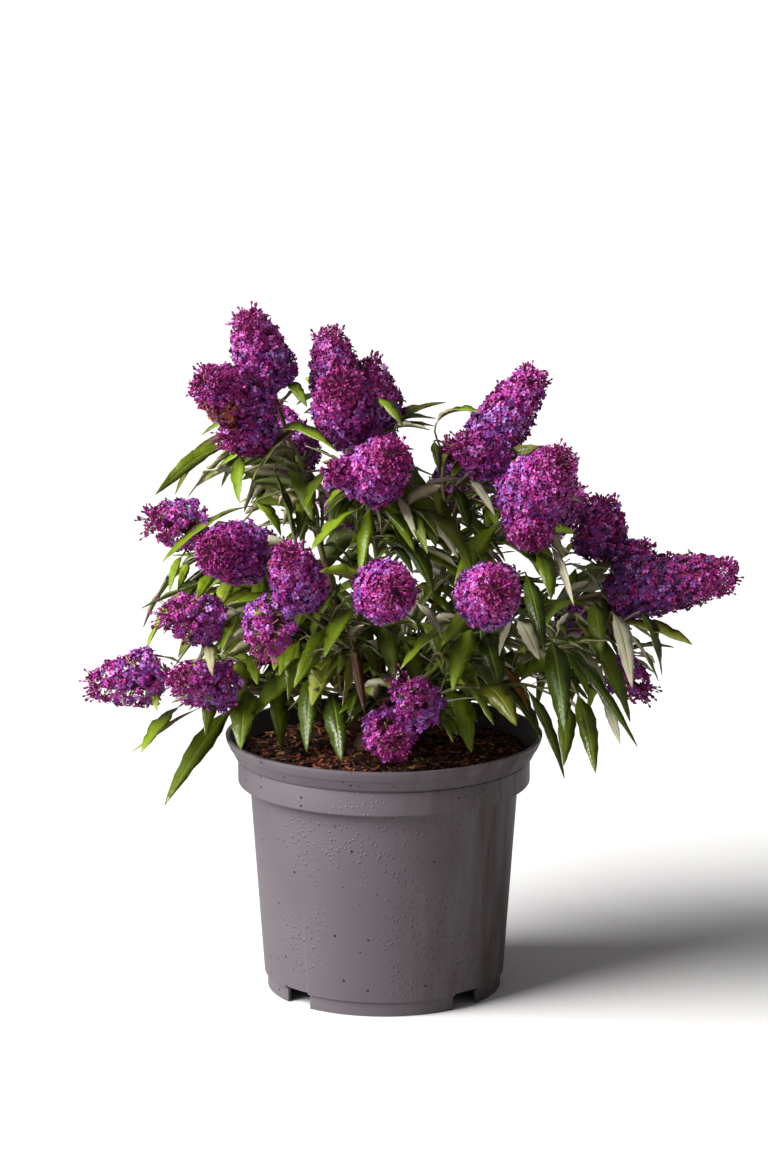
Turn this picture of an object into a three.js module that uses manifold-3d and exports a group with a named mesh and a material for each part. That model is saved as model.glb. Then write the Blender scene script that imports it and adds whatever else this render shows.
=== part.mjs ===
// A dwarf butterfly bush in flower, in a round plastic nursery pot. Millimetres, +Z up.
// The origin is the centre of the pot's foot, on the ground; +Y is the back of the plant.

import * as THREE from "three";
import { mergeVertices } from "three/addons/utils/BufferGeometryUtils.js";
import Module from "manifold-3d";

const wasm = await Module();
wasm.setup();

// Driving dimensions.
const clearance = 0.3; // between pieces that touch
const sliver = 0.05; // detail finer than this is smoothed out of a joined solid
const pot = {
  sides: 36,
  height: 188,
  rimRadius: 115,
  rimWidth: 3,
  rimEdge: 2.5, // height of the upright edge round the lip
  lipHeight: 15,
  bandRadius: 106,
  bandBottom: 154,
  bodyTop: 151,
  bodyTopRadius: 97.3,
  bodyBottomRadius: 87.4,
  footHeight: 11,
  footRadius: 85.2,
  wall: 2,
  floorBottom: 9,
  floorThickness: 2,
  padRadius: 30, // the round pad that the floor's centre stands on
  padSlope: 4,
  corner: 1, // how far the wall's corners are drawn out
  notchHeight: 12.5,
  notchDepth: 13, // into the foot, from the body's lowest edge
  notchTurn: 15.5, // how far round each drainage notch reaches, in degrees
  notchAt: [-136.5, -46.5, 43.5, 133.5],
};
const compost = { level: 174, dome: 4, domeReach: 45, slack: 0.9, sides: 24 };
const stock = {
  top: 224,
  tip: 2,
  waist: 12.5,
  profile: [[0, 21], [0.25, 15.5], [0.6, 12.5], [0.88, 13.5], [1, 9.5]], // [share of the height, radius]
  sides: 12,
  lean: [-2, 1],
};
const bough = {
  rootRadius: 4,
  tipRadius: 2.8,
  sides: 6,
  steps: 3,
  lowest: 9, // above the compost
  highest: 3, // below the stock's top
  rootShare: 0.7, // of the stock's waist, where a side bough starts
  share: 0.38, // of the way to the middle of its foliage
  bulge: 6,
  sag: 4,
};
const stem = { rootRadius: 2.9, tipRadius: 2.1, sides: 4, steps: 4 }; // a mass's first shoot
const twig = { rootRadius: 1.8, tipRadius: 1.8, sides: 3, steps: 3 }; // the shoots that fork from it
const bend = { pull: 0.33, swing: 4 }; // how far a shoot runs straight at each end, and how wide it forks
const leaf = {
  spacing: 25, // between the pairs of leaves along a shoot
  firstPair: 14, // from the fork to the first pair
  lastPair: 0.95, // share of the shoot that the last pair stands at
  stagger: 3, // between the two leaves of a pair
  longest: 94,
  shortest: 52,
  sizes: [0.82, 1.16], // leaf by leaf, as a share of the length for its place
  lastLength: 82, // of the leaf at the tip of a leafy shoot
  lastBend: 0.8,
  widthShare: 0.29,
  widths: [0.85, 1.15],
  leastThickness: 1.2,
  keelShare: 1 / 60, // depth of the keel, as a share of the length
  leave: 58, // angle between a leaf's root and its shoot, in degrees
  waver: 11.5, // how far that angle and the leaf's turn about the shoot stray, in degrees
  roll: 26, // how far a blade tips to one side, in degrees
  rises: [-25, 50], // of a leaf's root, in degrees
  hang: 80, // how steeply a leaf's tip can hang, in degrees
  bends: [0.3, 1.05], // share of the way from its rise to that
  youngBend: 0.7,
  outward: 0.5, // how far the leaves turn away from the middle of the plant
  widestAt: 0.38,
  fold: 0.08, // how far the edges are folded up, as a share of the width
  arcSteps: 8,
  sunk: 0.5, // how far past its shoot's axis a leaf's stalk reaches
  stalkHeight: 1.3,
  bladeStart: 0.09, // from here on a leaf is clear of its own mass's shoots and leaves too
  watched: [0.3, 0.5, 0.75], // shares of its length where its room is measured
  margin: 1, // round its mass's own space
  potMargin: 3,
  boughMargin: 1.5,
  headMargin: 0.5,
  tries: 9,
  shrink: 0.055, // shorter by this share with each try
  turn: 30, // and turned this much further, left and right, in degrees
};
const head = {
  sides: 7,
  rings: [0, 0.12, 0.4, 0.7, 0.92],
  fullness: 1.07, // the flats lie inside the round head, and the corners as far outside it
  bump: 0.08,
  sunk: 2,
};
const balls = { along: 8, ahead: [0.2, 0.5, 0.8], bough: 10 }; // that stand for a shoot's and a bough's room

// The view from the plant's front that flower heads are placed in: a picture of 768 x 1152 pixels, taken from
// `back` in front of the origin and `height` above it, looking down by `pitch` degrees.
const view = { back: 3100, height: 973, pitch: 12.17, focal: 4403, middle: [384, 576] };

// The plan of the plant. Each mass of foliage has its own bough, which leaves the stock at a level from
// 0 (low) to 1 (top). Its first shoot goes on from the bough, and the others fork from that one, `fork` of
// the way along. A shoot whose flower head shows from the front ends at the head's foot, and faces its tip:
// both are [pixels across, pixels down, depth] in the view, where depth is y in millimetres. Any other shoot
// is given by [azimuth, reach, height] of its end and [heading, rise] that it faces there, in degrees and
// millimetres, azimuth and heading anticlockwise from +X, which is the plant's right as seen from its front.
// A flower head's size is [length, width]; a shoot without a head ends in leaves.
const masses = {
  left_top: {
    level: 0.85,
    shoots: [
      { foot: [272, 388, 15], tip: [243, 306, 0], head: [66, 45] },
      { fork: 0.3, foot: [258, 408, -20], tip: [195, 378, -75], head: [75, 47] },
      { fork: 0.15, foot: [270, 432, -22], tip: [216, 439, -55], head: [48, 34] },
      { fork: 0.5, end: [171, 92, 408], facing: [178, 8] },
      { fork: 0.2, end: [150, 62, 372], facing: [150, 30] },
      { fork: 0.25, end: [-150, 62, 366], facing: [-125, 15] },
    ],
  },
  top: {
    level: 1,
    shoots: [
      { foot: [350, 424, -30], tip: [337, 377, -92], head: [75, 49] },
      { fork: 0.35, foot: [338, 395, 25], tip: [328, 325, 15], head: [54, 39] },
      { fork: 0.5, foot: [385, 425, 35], tip: [367, 357, 35], head: [54, 35] },
      { fork: 0.2, foot: [370, 480, -60], tip: [396, 450, -120], head: [69, 46] },
      { fork: 0.6, foot: [354, 474, -70], tip: [331, 470, -92], head: [31, 26] },
      { fork: 0.25, end: [-15, 28, 368], facing: [-20, 45] },
      { fork: 0.1, end: [-60, 42, 335], facing: [-50, 20] },
      { fork: 0.3, end: [-75, 66, 366], facing: [-70, 0] },
    ],
  },
  right_top: {
    level: 0.8,
    shoots: [
      { foot: [481, 452, -5], tip: [538, 371, 5], head: [76, 42] },
      { fork: 0.65, foot: [498, 462, -25], tip: [455, 441, -50], head: [46, 35] },
      { fork: 0.15, foot: [522, 507, -42], tip: [562, 460, -95], head: [80, 51] },
      { fork: 0.3, foot: [529, 516, -50], tip: [534, 541, -85], head: [39, 39] },
      { fork: 0.45, end: [18, 46, 388], facing: [40, 70], head: [16, 11] },
    ],
  },
  right_far: {
    level: 0.45,
    shoots: [
      { foot: [608, 592, -5], tip: [738, 573, -25], head: [100, 47] },
      { fork: 0.5, foot: [599, 558, 25], tip: [604, 500, 30], head: [48, 42] },
      { fork: 0.75, foot: [612, 562, 15], tip: [648, 549, 15], head: [33, 26] },
      { fork: 0.25, end: [16, 132, 290], facing: [20, 5] },
      { fork: 0.75, end: [-10, 168, 274], facing: [-8, -45] },
    ],
  },
  left_upper: {
    level: 0.5,
    shoots: [
      { foot: [246, 553, -60], tip: [205, 552, -122], head: [68, 45] },
      { fork: 0.5, foot: [199, 526, -20], tip: [145, 520, -40], head: [46, 38] },
      { fork: 0.15, foot: [217, 622, -45], tip: [157, 612, -70], head: [50, 38] },
      { fork: 0.3, end: [174, 118, 318], facing: [180, 0] },
    ],
  },
  front: {
    level: 0.3,
    shoots: [
      { foot: [379, 592, -100], tip: [400, 590, -158], head: [60, 45] },
      { fork: 0.4, foot: [303, 598, -90], tip: [287, 547, -125], head: [58, 41] },
      { fork: 0.25, foot: [272, 612, -115], tip: [264, 652, -155], head: [48, 38] },
      { fork: 0.1, end: [-104, 92, 268], facing: [-104, 5] },
    ],
  },
  front_right: {
    level: 0.35,
    shoots: [
      { foot: [484, 598, -105], tip: [500, 590, -162], head: [61, 46] },
      { fork: 0.3, end: [-42, 108, 284], facing: [-40, 5] },
      { fork: 0.12, end: [-66, 100, 268], facing: [-66, 0] },
    ],
  },
  left_low: {
    level: 0.15,
    shoots: [
      { foot: [160, 674, -35], tip: [90, 687, -50], head: [56, 42] },
      { fork: 0.3, foot: [228, 688, -50], tip: [168, 678, -95], head: [62, 38] },
      { fork: 0.15, end: [180, 108, 214], facing: [-176, -42] },
      { fork: 0.45, end: [-172, 132, 228], facing: [-170, -15] },
    ],
  },
  front_low: {
    level: 0,
    shoots: [
      { foot: [426, 712, -90], tip: [400, 680, -122], head: [50, 34] },
      { fork: 0.3, foot: [386, 726, -75], tip: [394, 748, -116], head: [44, 38] },
      { fork: 0.1, end: [-122, 94, 240], facing: [-125, 0] },
      { fork: 0.2, end: [-50, 98, 240], facing: [-48, 0] },
    ],
  },
  right_low: {
    level: 0.1,
    shoots: [
      { foot: [612, 668, -5], tip: [650, 694, -10], head: [36, 31] },
      { fork: 0.25, end: [-22, 142, 264], facing: [-24, -5] },
      { fork: 0.1, end: [-28, 122, 236], facing: [-30, -10] },
      { fork: 0.4, end: [8, 136, 246], facing: [8, -8] },
    ],
  },
  back_left: {
    level: 0.4,
    shoots: [
      { end: [140, 118, 300], facing: [115, 0], head: [62, 46] },
      { fork: 0.4, end: [128, 104, 368], facing: [120, 35], head: [70, 48] },
      { fork: 0.15, end: [146, 136, 258], facing: [143, -5], head: [58, 42] },
      { fork: 0.3, end: [165, 122, 292], facing: [168, 0] },
    ],
  },
  back: {
    level: 0.6,
    shoots: [
      { end: [100, 128, 326], facing: [98, 15], head: [70, 48] },
      { fork: 0.3, end: [100, 72, 384], facing: [95, 45], head: [66, 44] },
      { fork: 0.15, end: [112, 138, 258], facing: [112, 0], head: [60, 42] },
      { fork: 0.1, end: [84, 108, 240], facing: [84, -5] },
    ],
  },
  back_right: {
    level: 0.2,
    shoots: [
      { end: [42, 132, 322], facing: [40, 15], head: [70, 48] },
      { fork: 0.35, end: [60, 98, 346], facing: [58, 25], head: [66, 45] },
      { fork: 0.15, end: [60, 140, 264], facing: [64, 0], head: [62, 44] },
      { fork: 0.25, end: [26, 146, 256], facing: [26, -5], head: [56, 40] },
    ],
  },
};

// Repeatable noise from 0 to 1, out of up to three counters.
const noise = (a, b = 0, c = 0) => {
  const s = Math.sin(a * 12.9898 + b * 78.233 + c * 37.719) * 43758.5453;
  return s - Math.floor(s);
};

const radians = THREE.MathUtils.degToRad;
const vector = (x, y, z) => new THREE.Vector3(x, y, z);
const fromPolar = ([azimuth, reach, height]) =>
  vector(reach * Math.cos(radians(azimuth)), reach * Math.sin(radians(azimuth)), height);
const fromHeading = (heading, rise) =>
  vector(Math.cos(rise) * Math.cos(heading), Math.cos(rise) * Math.sin(heading), Math.sin(rise));
const up = vector(0, 0, 1);

// The point at the given depth that stands at a place in the view.
function seen([across, down, depth]) {
  const right = (across - view.middle[0]) / view.focal;
  const rise = (view.middle[1] - down) / view.focal;
  const ray = vector(right, 1, rise).applyAxisAngle(vector(1, 0, 0), radians(-view.pitch));
  return ray.multiplyScalar((depth + view.back) / ray.y).add(vector(0, -view.back, view.height));
}

// Where a shoot of the plan ends, and which way it faces there.
const endOf = ({ foot, end }) => (foot ? seen(foot) : fromPolar(end));
const aimOf = ({ foot, tip, facing }) =>
  foot ? seen(tip).sub(seen(foot)).normalize() : fromHeading(...facing.map(radians));

const between = ([low, high], share) => THREE.MathUtils.lerp(low, high, share);
const either = (limit, share) => radians(limit) * (2 * share - 1);

// From geometry to solids and back.

// A closed solid from points and triangles of point numbers.
function solidOfFaces(points, faces) {
  return new wasm.Manifold(
    new wasm.Mesh({
      numProp: 3,
      vertProperties: new Float32Array(points.flatMap((p) => [p.x, p.y, p.z])),
      triVerts: new Uint32Array(faces.flat()),
    }),
  );
}

function solidOfGeometry(geometry) {
  const bare = geometry.clone();
  bare.deleteAttribute("normal");
  bare.deleteAttribute("uv");
  const merged = mergeVertices(bare, 1e-4);
  const points = [];
  const position = merged.attributes.position;
  for (let i = 0; i < position.count; i++) points.push(vector().fromBufferAttribute(position, i));
  const faces = [];
  for (let i = 0; i < merged.index.count; i += 3) {
    faces.push([0, 1, 2].map((k) => merged.index.getX(i + k)));
  }
  return solidOfFaces(points, faces);
}

// The largest body of a joined solid, without slivers, loose scraps and sealed hollows.
function largestBody(solid) {
  const bodies = solid.simplify(sliver).decompose();
  return bodies.reduce((a, b) => (b.volume() > a.volume() ? b : a));
}

function meshOf(name, solid, material) {
  const { numProp, vertProperties, triVerts } = solid.getMesh();
  const positions = new Float32Array((vertProperties.length / numProp) * 3);
  for (let i = 0; i < positions.length / 3; i++) {
    positions.set(vertProperties.subarray(i * numProp, i * numProp + 3), i * 3);
  }
  const geometry = new THREE.BufferGeometry();
  geometry.setAttribute("position", new THREE.BufferAttribute(positions, 3));
  geometry.setIndex(new THREE.BufferAttribute(triVerts, 1));
  const mesh = new THREE.Mesh(geometry, material);
  mesh.name = name;
  return mesh;
}

// A closed round profile of [radius, height] points, turned about the vertical axis.
function turned(profile, sides) {
  const lathe = new THREE.LatheGeometry(
    profile.map(([r, z]) => new THREE.Vector2(r, z)),
    sides,
  );
  return solidOfGeometry(lathe.rotateX(Math.PI / 2));
}

// A closed skin over rings of points, with a point or a flat cap at each end.
function skin(rings) {
  const points = rings.flat();
  const faces = [];
  let start = 0;
  rings.slice(0, -1).forEach((ring, i) => {
    const next = rings[i + 1];
    const [n, m] = [ring.length, next.length];
    const after = start + n;
    for (let k = 0; k < Math.max(n, m); k++) {
      const [a, b] = [start + (k % n), start + ((k + 1) % n)];
      const [c, d] = [after + (k % m), after + ((k + 1) % m)];
      if (n > 1) faces.push([a, b, m > 1 ? d : c]);
      if (m > 1) faces.push([a, d, c]);
    }
    start = after;
  });
  const first = rings[0].length;
  for (let k = 1; k < first - 1; k++) faces.push([0, k + 1, k]);
  const last = rings[rings.length - 1].length;
  for (let k = 1; k < last - 1; k++) faces.push([start, start + k, start + k + 1]);
  return solidOfFaces(points, faces);
}

// A ring of points about a centre, in the plane of two directions.
function ringAbout(centre, u, v, sides, radiusAt) {
  return Array.from({ length: sides }, (_, k) => {
    const turn = (2 * Math.PI * k) / sides;
    const r = radiusAt(k);
    return centre
      .clone()
      .addScaledVector(u, r * Math.cos(turn))
      .addScaledVector(v, r * Math.sin(turn));
  });
}

function taperedLimb(curve, rootRadius, tipRadius, sides, steps) {
  const frames = curve.computeFrenetFrames(steps, false);
  const rings = Array.from({ length: steps + 1 }, (_, i) => {
    const radius = THREE.MathUtils.lerp(rootRadius, tipRadius, i / steps);
    const [u, v] = [frames.normals[i], frames.binormals[i]];
    return ringAbout(curve.getPointAt(i / steps), u, v, sides, () => radius);
  });
  return skin(rings);
}

// The pot and what fills it.

// Outer radius of the pot below its lip, at a height.
function potRadius(z) {
  if (z >= pot.bandBottom) return pot.bandRadius;
  if (z > pot.bodyTop) {
    const rise = (z - pot.bodyTop) / (pot.bandBottom - pot.bodyTop);
    return between([pot.bodyTopRadius, pot.bandRadius], rise);
  }
  const rise = (z - pot.footHeight) / (pot.bodyTop - pot.footHeight);
  return between([pot.bodyBottomRadius, pot.bodyTopRadius], rise);
}

const floorTop = pot.floorBottom + pot.floorThickness;

function makePot() {
  const { wall, corner, height, rimRadius, bandRadius, footHeight, footRadius, floorBottom, padRadius } = pot;
  const lipBottom = height - pot.lipHeight;
  const outside = [
    [0, 0],
    [padRadius, 0],
    [padRadius + pot.padSlope, floorBottom],
    [footRadius - wall - corner, floorBottom],
    [footRadius - wall, 0],
    [footRadius, 0],
    [footRadius, footHeight],
    [pot.bodyBottomRadius, footHeight],
    [pot.bodyTopRadius, pot.bodyTop],
    [bandRadius, pot.bandBottom],
    [bandRadius, lipBottom - corner],
    [bandRadius + 2 * corner, lipBottom],
    [rimRadius - corner / 2, height - pot.rimEdge],
    [rimRadius, height],
  ];
  const inside = [
    [rimRadius - pot.rimWidth, height],
    [bandRadius - wall, lipBottom + corner],
    [bandRadius - wall, pot.bandBottom + corner],
    [pot.bodyTopRadius - wall, pot.bodyTop + corner],
    [pot.bodyBottomRadius - wall, footHeight + 3 * corner],
    [footRadius - wall, floorTop],
    [0, floorTop],
  ];
  let body = turned([...outside, ...inside], pot.sides);
  for (const azimuth of pot.notchAt) {
    const reach = pot.bodyBottomRadius + pot.wall;
    const width = 2 * pot.footRadius * Math.tan(radians(pot.notchTurn / 2));
    const notch = new THREE.BoxGeometry(pot.notchDepth, width, 2 * pot.notchHeight);
    notch.translate(reach - pot.notchDepth / 2, 0, 0).rotateZ(radians(azimuth));
    body = body.subtract(solidOfGeometry(notch));
  }
  return largestBody(body);
}

function makeCompost() {
  const { level, dome, slack, sides } = compost;
  const inner = (z) => potRadius(z) - pot.wall - slack;
  const notchTop = pot.notchHeight + clearance;
  const notchBack = pot.bodyBottomRadius - pot.notchDepth;
  const wallFoot = pot.footHeight + 4 * pot.corner;
  return turned(
    [
      [0, floorTop + clearance],
      [notchBack, floorTop + clearance],
      [notchBack, notchTop],
      [pot.footRadius - pot.wall - pot.corner, notchTop],
      [inner(wallFoot), wallFoot],
      [inner(pot.bodyTop), pot.bodyTop + 2 * pot.corner],
      [inner(pot.bandBottom), pot.bandBottom + 3 * pot.corner],
      [inner(level), level],
      [compost.domeReach, level + dome * 0.8],
      [compost.domeReach / 2, level + dome],
      [0, level + dome],
    ],
    sides,
  );
}

// The woody stock and its boughs.

const stockFoot = compost.level + compost.dome + clearance;

// The stock, grown outwards by a margin all round.
function stockSolid(margin) {
  const side = stock.profile.map(([share, radius]) => [
    radius + margin,
    between([stockFoot, stock.top + margin], share),
  ]);
  const solid = turned([[0, stockFoot], ...side, [0, stock.top + stock.tip + margin]], stock.sides);
  return solid.translate([...stock.lean, 0]);
}

// Where a mass's limbs head for: the middle of its shoots' ends.
function middleOf(mass) {
  const sum = mass.shoots.reduce((total, planned) => total.add(endOf(planned)), vector(0, 0, 0));
  return sum.divideScalar(mass.shoots.length);
}

// A bough runs from inside the stock to the point where its mass of foliage begins.
function boughCurve(mass) {
  const middle = middleOf(mass);
  const height = between([stockFoot + bough.lowest, stock.top - bough.highest], mass.level);
  const outward = fromHeading(Math.atan2(middle.y, middle.x), 0);
  const start = vector(...stock.lean, height);
  if (mass.level < 1) start.addScaledVector(outward, stock.waist * bough.rootShare);
  const end = start.clone().lerp(middle, bough.share);
  const bulge = start.clone().lerp(end, 0.5).addScaledVector(outward, bough.bulge * (1 - mass.level));
  bulge.z -= bough.sag;
  return new THREE.QuadraticBezierCurve3(start, bulge, end);
}

// Shoots, leaves and flower heads.

// A shoot leaves in one direction and turns to face its flower head's way.
function shootCurve(from, direction, foot, aim) {
  const pull = from.distanceTo(foot) * bend.pull;
  const leaving = from.clone().addScaledVector(direction, pull);
  const arriving = foot.clone().addScaledVector(aim, -pull);
  return new THREE.CubicBezierCurve3(from, leaving, arriving, foot);
}

// A leaf's midline arches over from its rise to its hang, most of all near its root.
const leafSlope = (l, s) => l.rise - l.bend * (1 - (1 - s) ** 2);
function leafPoint(l, s) {
  const point = l.root.clone();
  for (let i = 0; i < leaf.arcSteps; i++) {
    const slope = leafSlope(l, (s * (i + 0.5)) / leaf.arcSteps);
    point.addScaledVector(fromHeading(l.heading, slope), (s * l.length) / leaf.arcSteps);
  }
  return point;
}

// The corners of a leaf: the upright end of its stalk inside the shoot, its two edges and its keel where it
// is widest, and its tip.
function leafCorners(l) {
  const normal = fromHeading(l.heading, leafSlope(l, leaf.widestAt) + Math.PI / 2);
  const level = fromHeading(l.heading + Math.PI / 2, 0);
  const side = level.multiplyScalar(Math.cos(l.roll)).addScaledVector(normal, Math.sin(l.roll));
  const middle = leafPoint(l, leaf.widestAt);
  const edges = middle.clone().addScaledVector(normal, leaf.fold * l.width);
  const stalk = l.root.clone().addScaledVector(fromHeading(l.heading, l.rise), -leaf.sunk);
  const stalkUp = fromHeading(l.heading, l.rise + Math.PI / 2);
  return {
    top: stalk.clone().addScaledVector(stalkUp, leaf.stalkHeight / 2),
    bottom: stalk.addScaledVector(stalkUp, -leaf.stalkHeight / 2),
    left: edges.clone().addScaledVector(side, l.width / 2),
    right: edges.addScaledVector(side, -l.width / 2),
    keel: middle.addScaledVector(normal, -Math.max(leaf.leastThickness, l.length * leaf.keelShare)),
    tip: leafPoint(l, 1),
  };
}

// Eight faces: two above, and three below on each side of the keel.
function leafSolid({ top, bottom, left, right, keel, tip }) {
  const [t, b, l, r, k, end] = [0, 1, 2, 3, 4, 5];
  return solidOfFaces(
    [top, bottom, left, right, keel, tip],
    [
      [t, r, l],
      [r, end, l],
      [t, l, b],
      [b, l, k],
      [k, l, end],
      [t, b, r],
      [b, k, r],
      [k, end, r],
    ],
  );
}

// The part of a leaf that stands clear of its shoot.
const bladeSolid = (l, { left, right, keel, tip }) =>
  skin([[leafPoint(l, leaf.bladeStart)], [left, right, keel], [tip]]);

// The leaf that goes straight on from the tip of a shoot without a flower head.
function lastLeaf({ foot, aim }) {
  const [heading, rise] = [Math.atan2(aim.y, aim.x), Math.asin(aim.z)];
  const bend = (rise + radians(leaf.hang)) * leaf.lastBend;
  const length = leaf.lastLength;
  return { root: foot, heading, rise, bend, roll: 0, length, width: length * leaf.widthShare };
}

// The leaves of one shoot: pairs on opposite sides, each pair a quarter turn from the last.
function leavesAlong(shoot) {
  const { curve, number, head: [headLength] } = shoot;
  const length = curve.getLength();
  const pairs = Math.floor((length - leaf.firstPair) / leaf.spacing) + 2;
  const frames = curve.computeFrenetFrames(twig.steps, false);
  const found = [];
  for (let pair = 0; pair < pairs; pair++) {
    const share = Math.min(leaf.lastPair, (leaf.firstPair + pair * leaf.spacing) / length);
    const along = curve.getTangentAt(share);
    const u = frames.normals[Math.round(share * twig.steps)].clone();
    u.addScaledVector(along, -u.dot(along)).normalize();
    const v = vector().crossVectors(along, u);
    const young = share ** 2 * (headLength ? 1 : 0.5);
    for (let side = 0; side < 2; side++) {
      const chance = (salt) => noise(number, pair * 2 + side, salt);
      const root = curve.getPointAt(share).addScaledVector(along, (side - 0.5) * leaf.stagger);
      const turn = Math.PI * (side + pair / 2 + 0.25) + either(leaf.waver, chance(1));
      const leave = radians(leaf.leave) + either(leaf.waver, chance(2));
      const start = along.clone().multiplyScalar(Math.cos(leave));
      start.addScaledVector(u, Math.sin(leave) * Math.cos(turn));
      start.addScaledVector(v, Math.sin(leave) * Math.sin(turn));
      const outward = vector(root.x, root.y, 0).normalize().multiplyScalar(leaf.outward);
      const rise = THREE.MathUtils.clamp(Math.asin(start.z), ...leaf.rises.map(radians));
      const drop = rise + radians(leaf.hang);
      const size = between([leaf.longest, leaf.shortest], young) * between(leaf.sizes, chance(3));
      found.push({
        root,
        heading: Math.atan2(start.y + outward.y, start.x + outward.x),
        rise,
        bend: drop * between(leaf.bends, chance(4)) * between([1, leaf.youngBend], young),
        roll: either(leaf.roll, chance(5)),
        length: size,
        width: size * leaf.widthShare * between(leaf.widths, chance(6)),
      });
    }
  }
  return headLength ? found : [...found, lastLeaf(shoot)];
}

// A flower head's radius at a share of its length: soon full, then tapering to a blunt tip.
const headProfile = (t) => Math.min(1, 0.16 + 6 * t) ** 0.6 * (1 - 0.9 * t ** 2.6) ** 0.6;

function headSolid({ foot, aim, number, head: [length, width] }) {
  const u = vector().crossVectors(up, aim).normalize();
  const v = vector().crossVectors(aim, u);
  const at = (t) => foot.clone().addScaledVector(aim, t * length - head.sunk);
  const rings = head.rings.map((t, i) => {
    const radius = (width / 2) * headProfile(t) * head.fullness;
    const bumpy = (k) => radius * (1 + head.bump * (noise(number, i, k) * 2 - 1));
    return ringAbout(at(t), u, v, head.sides, bumpy);
  });
  return skin([...rings, [at(1)]]);
}

// The whole plan, laid out before anything is made solid.

let shootCount = 0;
const layout = Object.entries(masses).map(([name, mass]) => {
  const limb = boughCurve(mass);
  const direction = limb.getTangent(1);
  const root = limb.getPoint(1).addScaledVector(direction, clearance);
  const shoots = [];
  for (const planned of mass.shoots) {
    const { fork = 0, head: size = [0, 0] } = planned;
    const aim = aimOf(planned);
    const foot = endOf(planned);
    const from = fork ? shoots[0].curve.getPointAt(fork) : root;
    const start = direction.clone();
    if (fork) {
      const swing = foot.clone().sub(from).normalize().multiplyScalar(bend.swing);
      start.copy(shoots[0].curve.getTangentAt(fork)).add(swing).normalize();
    }
    shoots.push({ number: ++shootCount, curve: shootCurve(from, start, foot, aim), foot, aim, head: size });
  }
  return { name, limb, shoots };
});

// What each mass fills, as balls along its shoots and last leaves and in its flower heads. Its own space is
// what lies nearer to them than to any other mass's.
const spaces = layout.map(({ shoots }) =>
  shoots.flatMap((shoot) => {
    const { curve, foot, aim, head: [length, width] } = shoot;
    const along = curve.getSpacedPoints(balls.along).map((centre) => ({ centre, radius: twig.rootRadius }));
    const ahead = balls.ahead.map((t) =>
      length
        ? { centre: foot.clone().addScaledVector(aim, t * length), radius: (width / 2) * headProfile(t) }
        : { centre: leafPoint(lastLeaf(shoot), t), radius: twig.tipRadius },
    );
    return [...along, ...ahead];
  }),
);
const headBalls = spaces.flat().filter(({ radius }) => radius > twig.rootRadius);
const limbBalls = layout.flatMap(({ limb }) =>
  limb.getSpacedPoints(balls.bough).map((centre) => ({ centre, radius: bough.rootRadius })),
);

const nearest = (point, room) =>
  room.reduce((least, b) => Math.min(least, b.centre.distanceTo(point) - b.radius), Infinity);

// Clear of the pot's wall and lip, and above the compost where it is inside them.
function clearOfPot(point) {
  const reach = Math.hypot(point.x, point.y);
  if (point.z > pot.height + leaf.potMargin) return true;
  if (reach > pot.rimRadius + leaf.potMargin) return point.z > leaf.potMargin;
  const inside = reach < pot.bandRadius - pot.wall - leaf.potMargin;
  return inside && point.z > stockFoot + leaf.potMargin;
}

function inOwnSpace(point, massNumber) {
  const own = nearest(point, spaces[massNumber]) + leaf.margin;
  return spaces.every((space, i) => i === massNumber || nearest(point, space) > own);
}

// A leaf keeps to its mass's own space, and clear of the boughs, the flower heads and the pot.
function leafFits(l, { left, right, tip }, massNumber) {
  const along = [...leaf.watched.map((s) => leafPoint(l, s)), tip];
  return (
    [...along, left, right].every((p) => clearOfPot(p) && nearest(p, limbBalls) > leaf.boughMargin) &&
    along.slice(1).every((p) => nearest(p, headBalls) > leaf.headMargin && inOwnSpace(p, massNumber))
  );
}

// Masses of foliage.

const boxed = (solid) => {
  const { min, max } = solid.boundingBox();
  return { solid, box: new THREE.Box3(vector(...min), vector(...max)) };
};
const overlap = (a, b) => (a.box.intersectsBox(b.box) ? a.solid.intersect(b.solid).volume() : 0);

// A mass's shoots and the flower heads at their tips.
function makeShoots({ shoots }) {
  const limbs = shoots.map(({ curve }, i) => {
    const { rootRadius, tipRadius, sides, steps } = i ? twig : stem;
    return taperedLimb(curve, rootRadius, tipRadius, sides, steps);
  });
  const heads = shoots.filter((shoot) => shoot.head[0]).map(headSolid);
  return [...limbs, ...heads].map(boxed);
}

// The leaves of one mass. A leaf that doesn't fit is tried again shorter and turned, and in the end left out.
function makeLeaves({ shoots }, massNumber, own, others) {
  const leaves = [];
  for (const first of shoots.flatMap(leavesAlong)) {
    for (let attempt = 0; attempt < leaf.tries; attempt++) {
      const shrink = 1 - leaf.shrink * attempt;
      const turn = (attempt % 2 ? 1 : -1) * Math.ceil(attempt / 2) * radians(leaf.turn);
      const l = {
        ...first,
        heading: first.heading + turn,
        length: first.length * shrink,
        width: first.width * shrink,
      };
      const corners = leafCorners(l);
      if (!leafFits(l, corners, massNumber)) continue;
      const made = boxed(leafSolid(corners));
      const blade = boxed(bladeSolid(l, corners));
      if (others.some((other) => overlap(made, other) > 0)) continue;
      if ([...own, ...leaves].some((piece) => overlap(blade, piece) > 0)) continue;
      leaves.push(made);
      break;
    }
  }
  return leaves;
}

const materials = {
  pot: new THREE.MeshStandardMaterial({ color: 0x75707a, roughness: 0.5, metalness: 0 }),
  compost: new THREE.MeshStandardMaterial({ color: 0x3b2117, roughness: 0.95, metalness: 0 }),
  bark: new THREE.MeshStandardMaterial({ color: 0x6b5138, roughness: 0.85, metalness: 0 }),
  foliage: new THREE.MeshStandardMaterial({ color: 0x4a6a1c, roughness: 0.55, metalness: 0 }),
};

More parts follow.
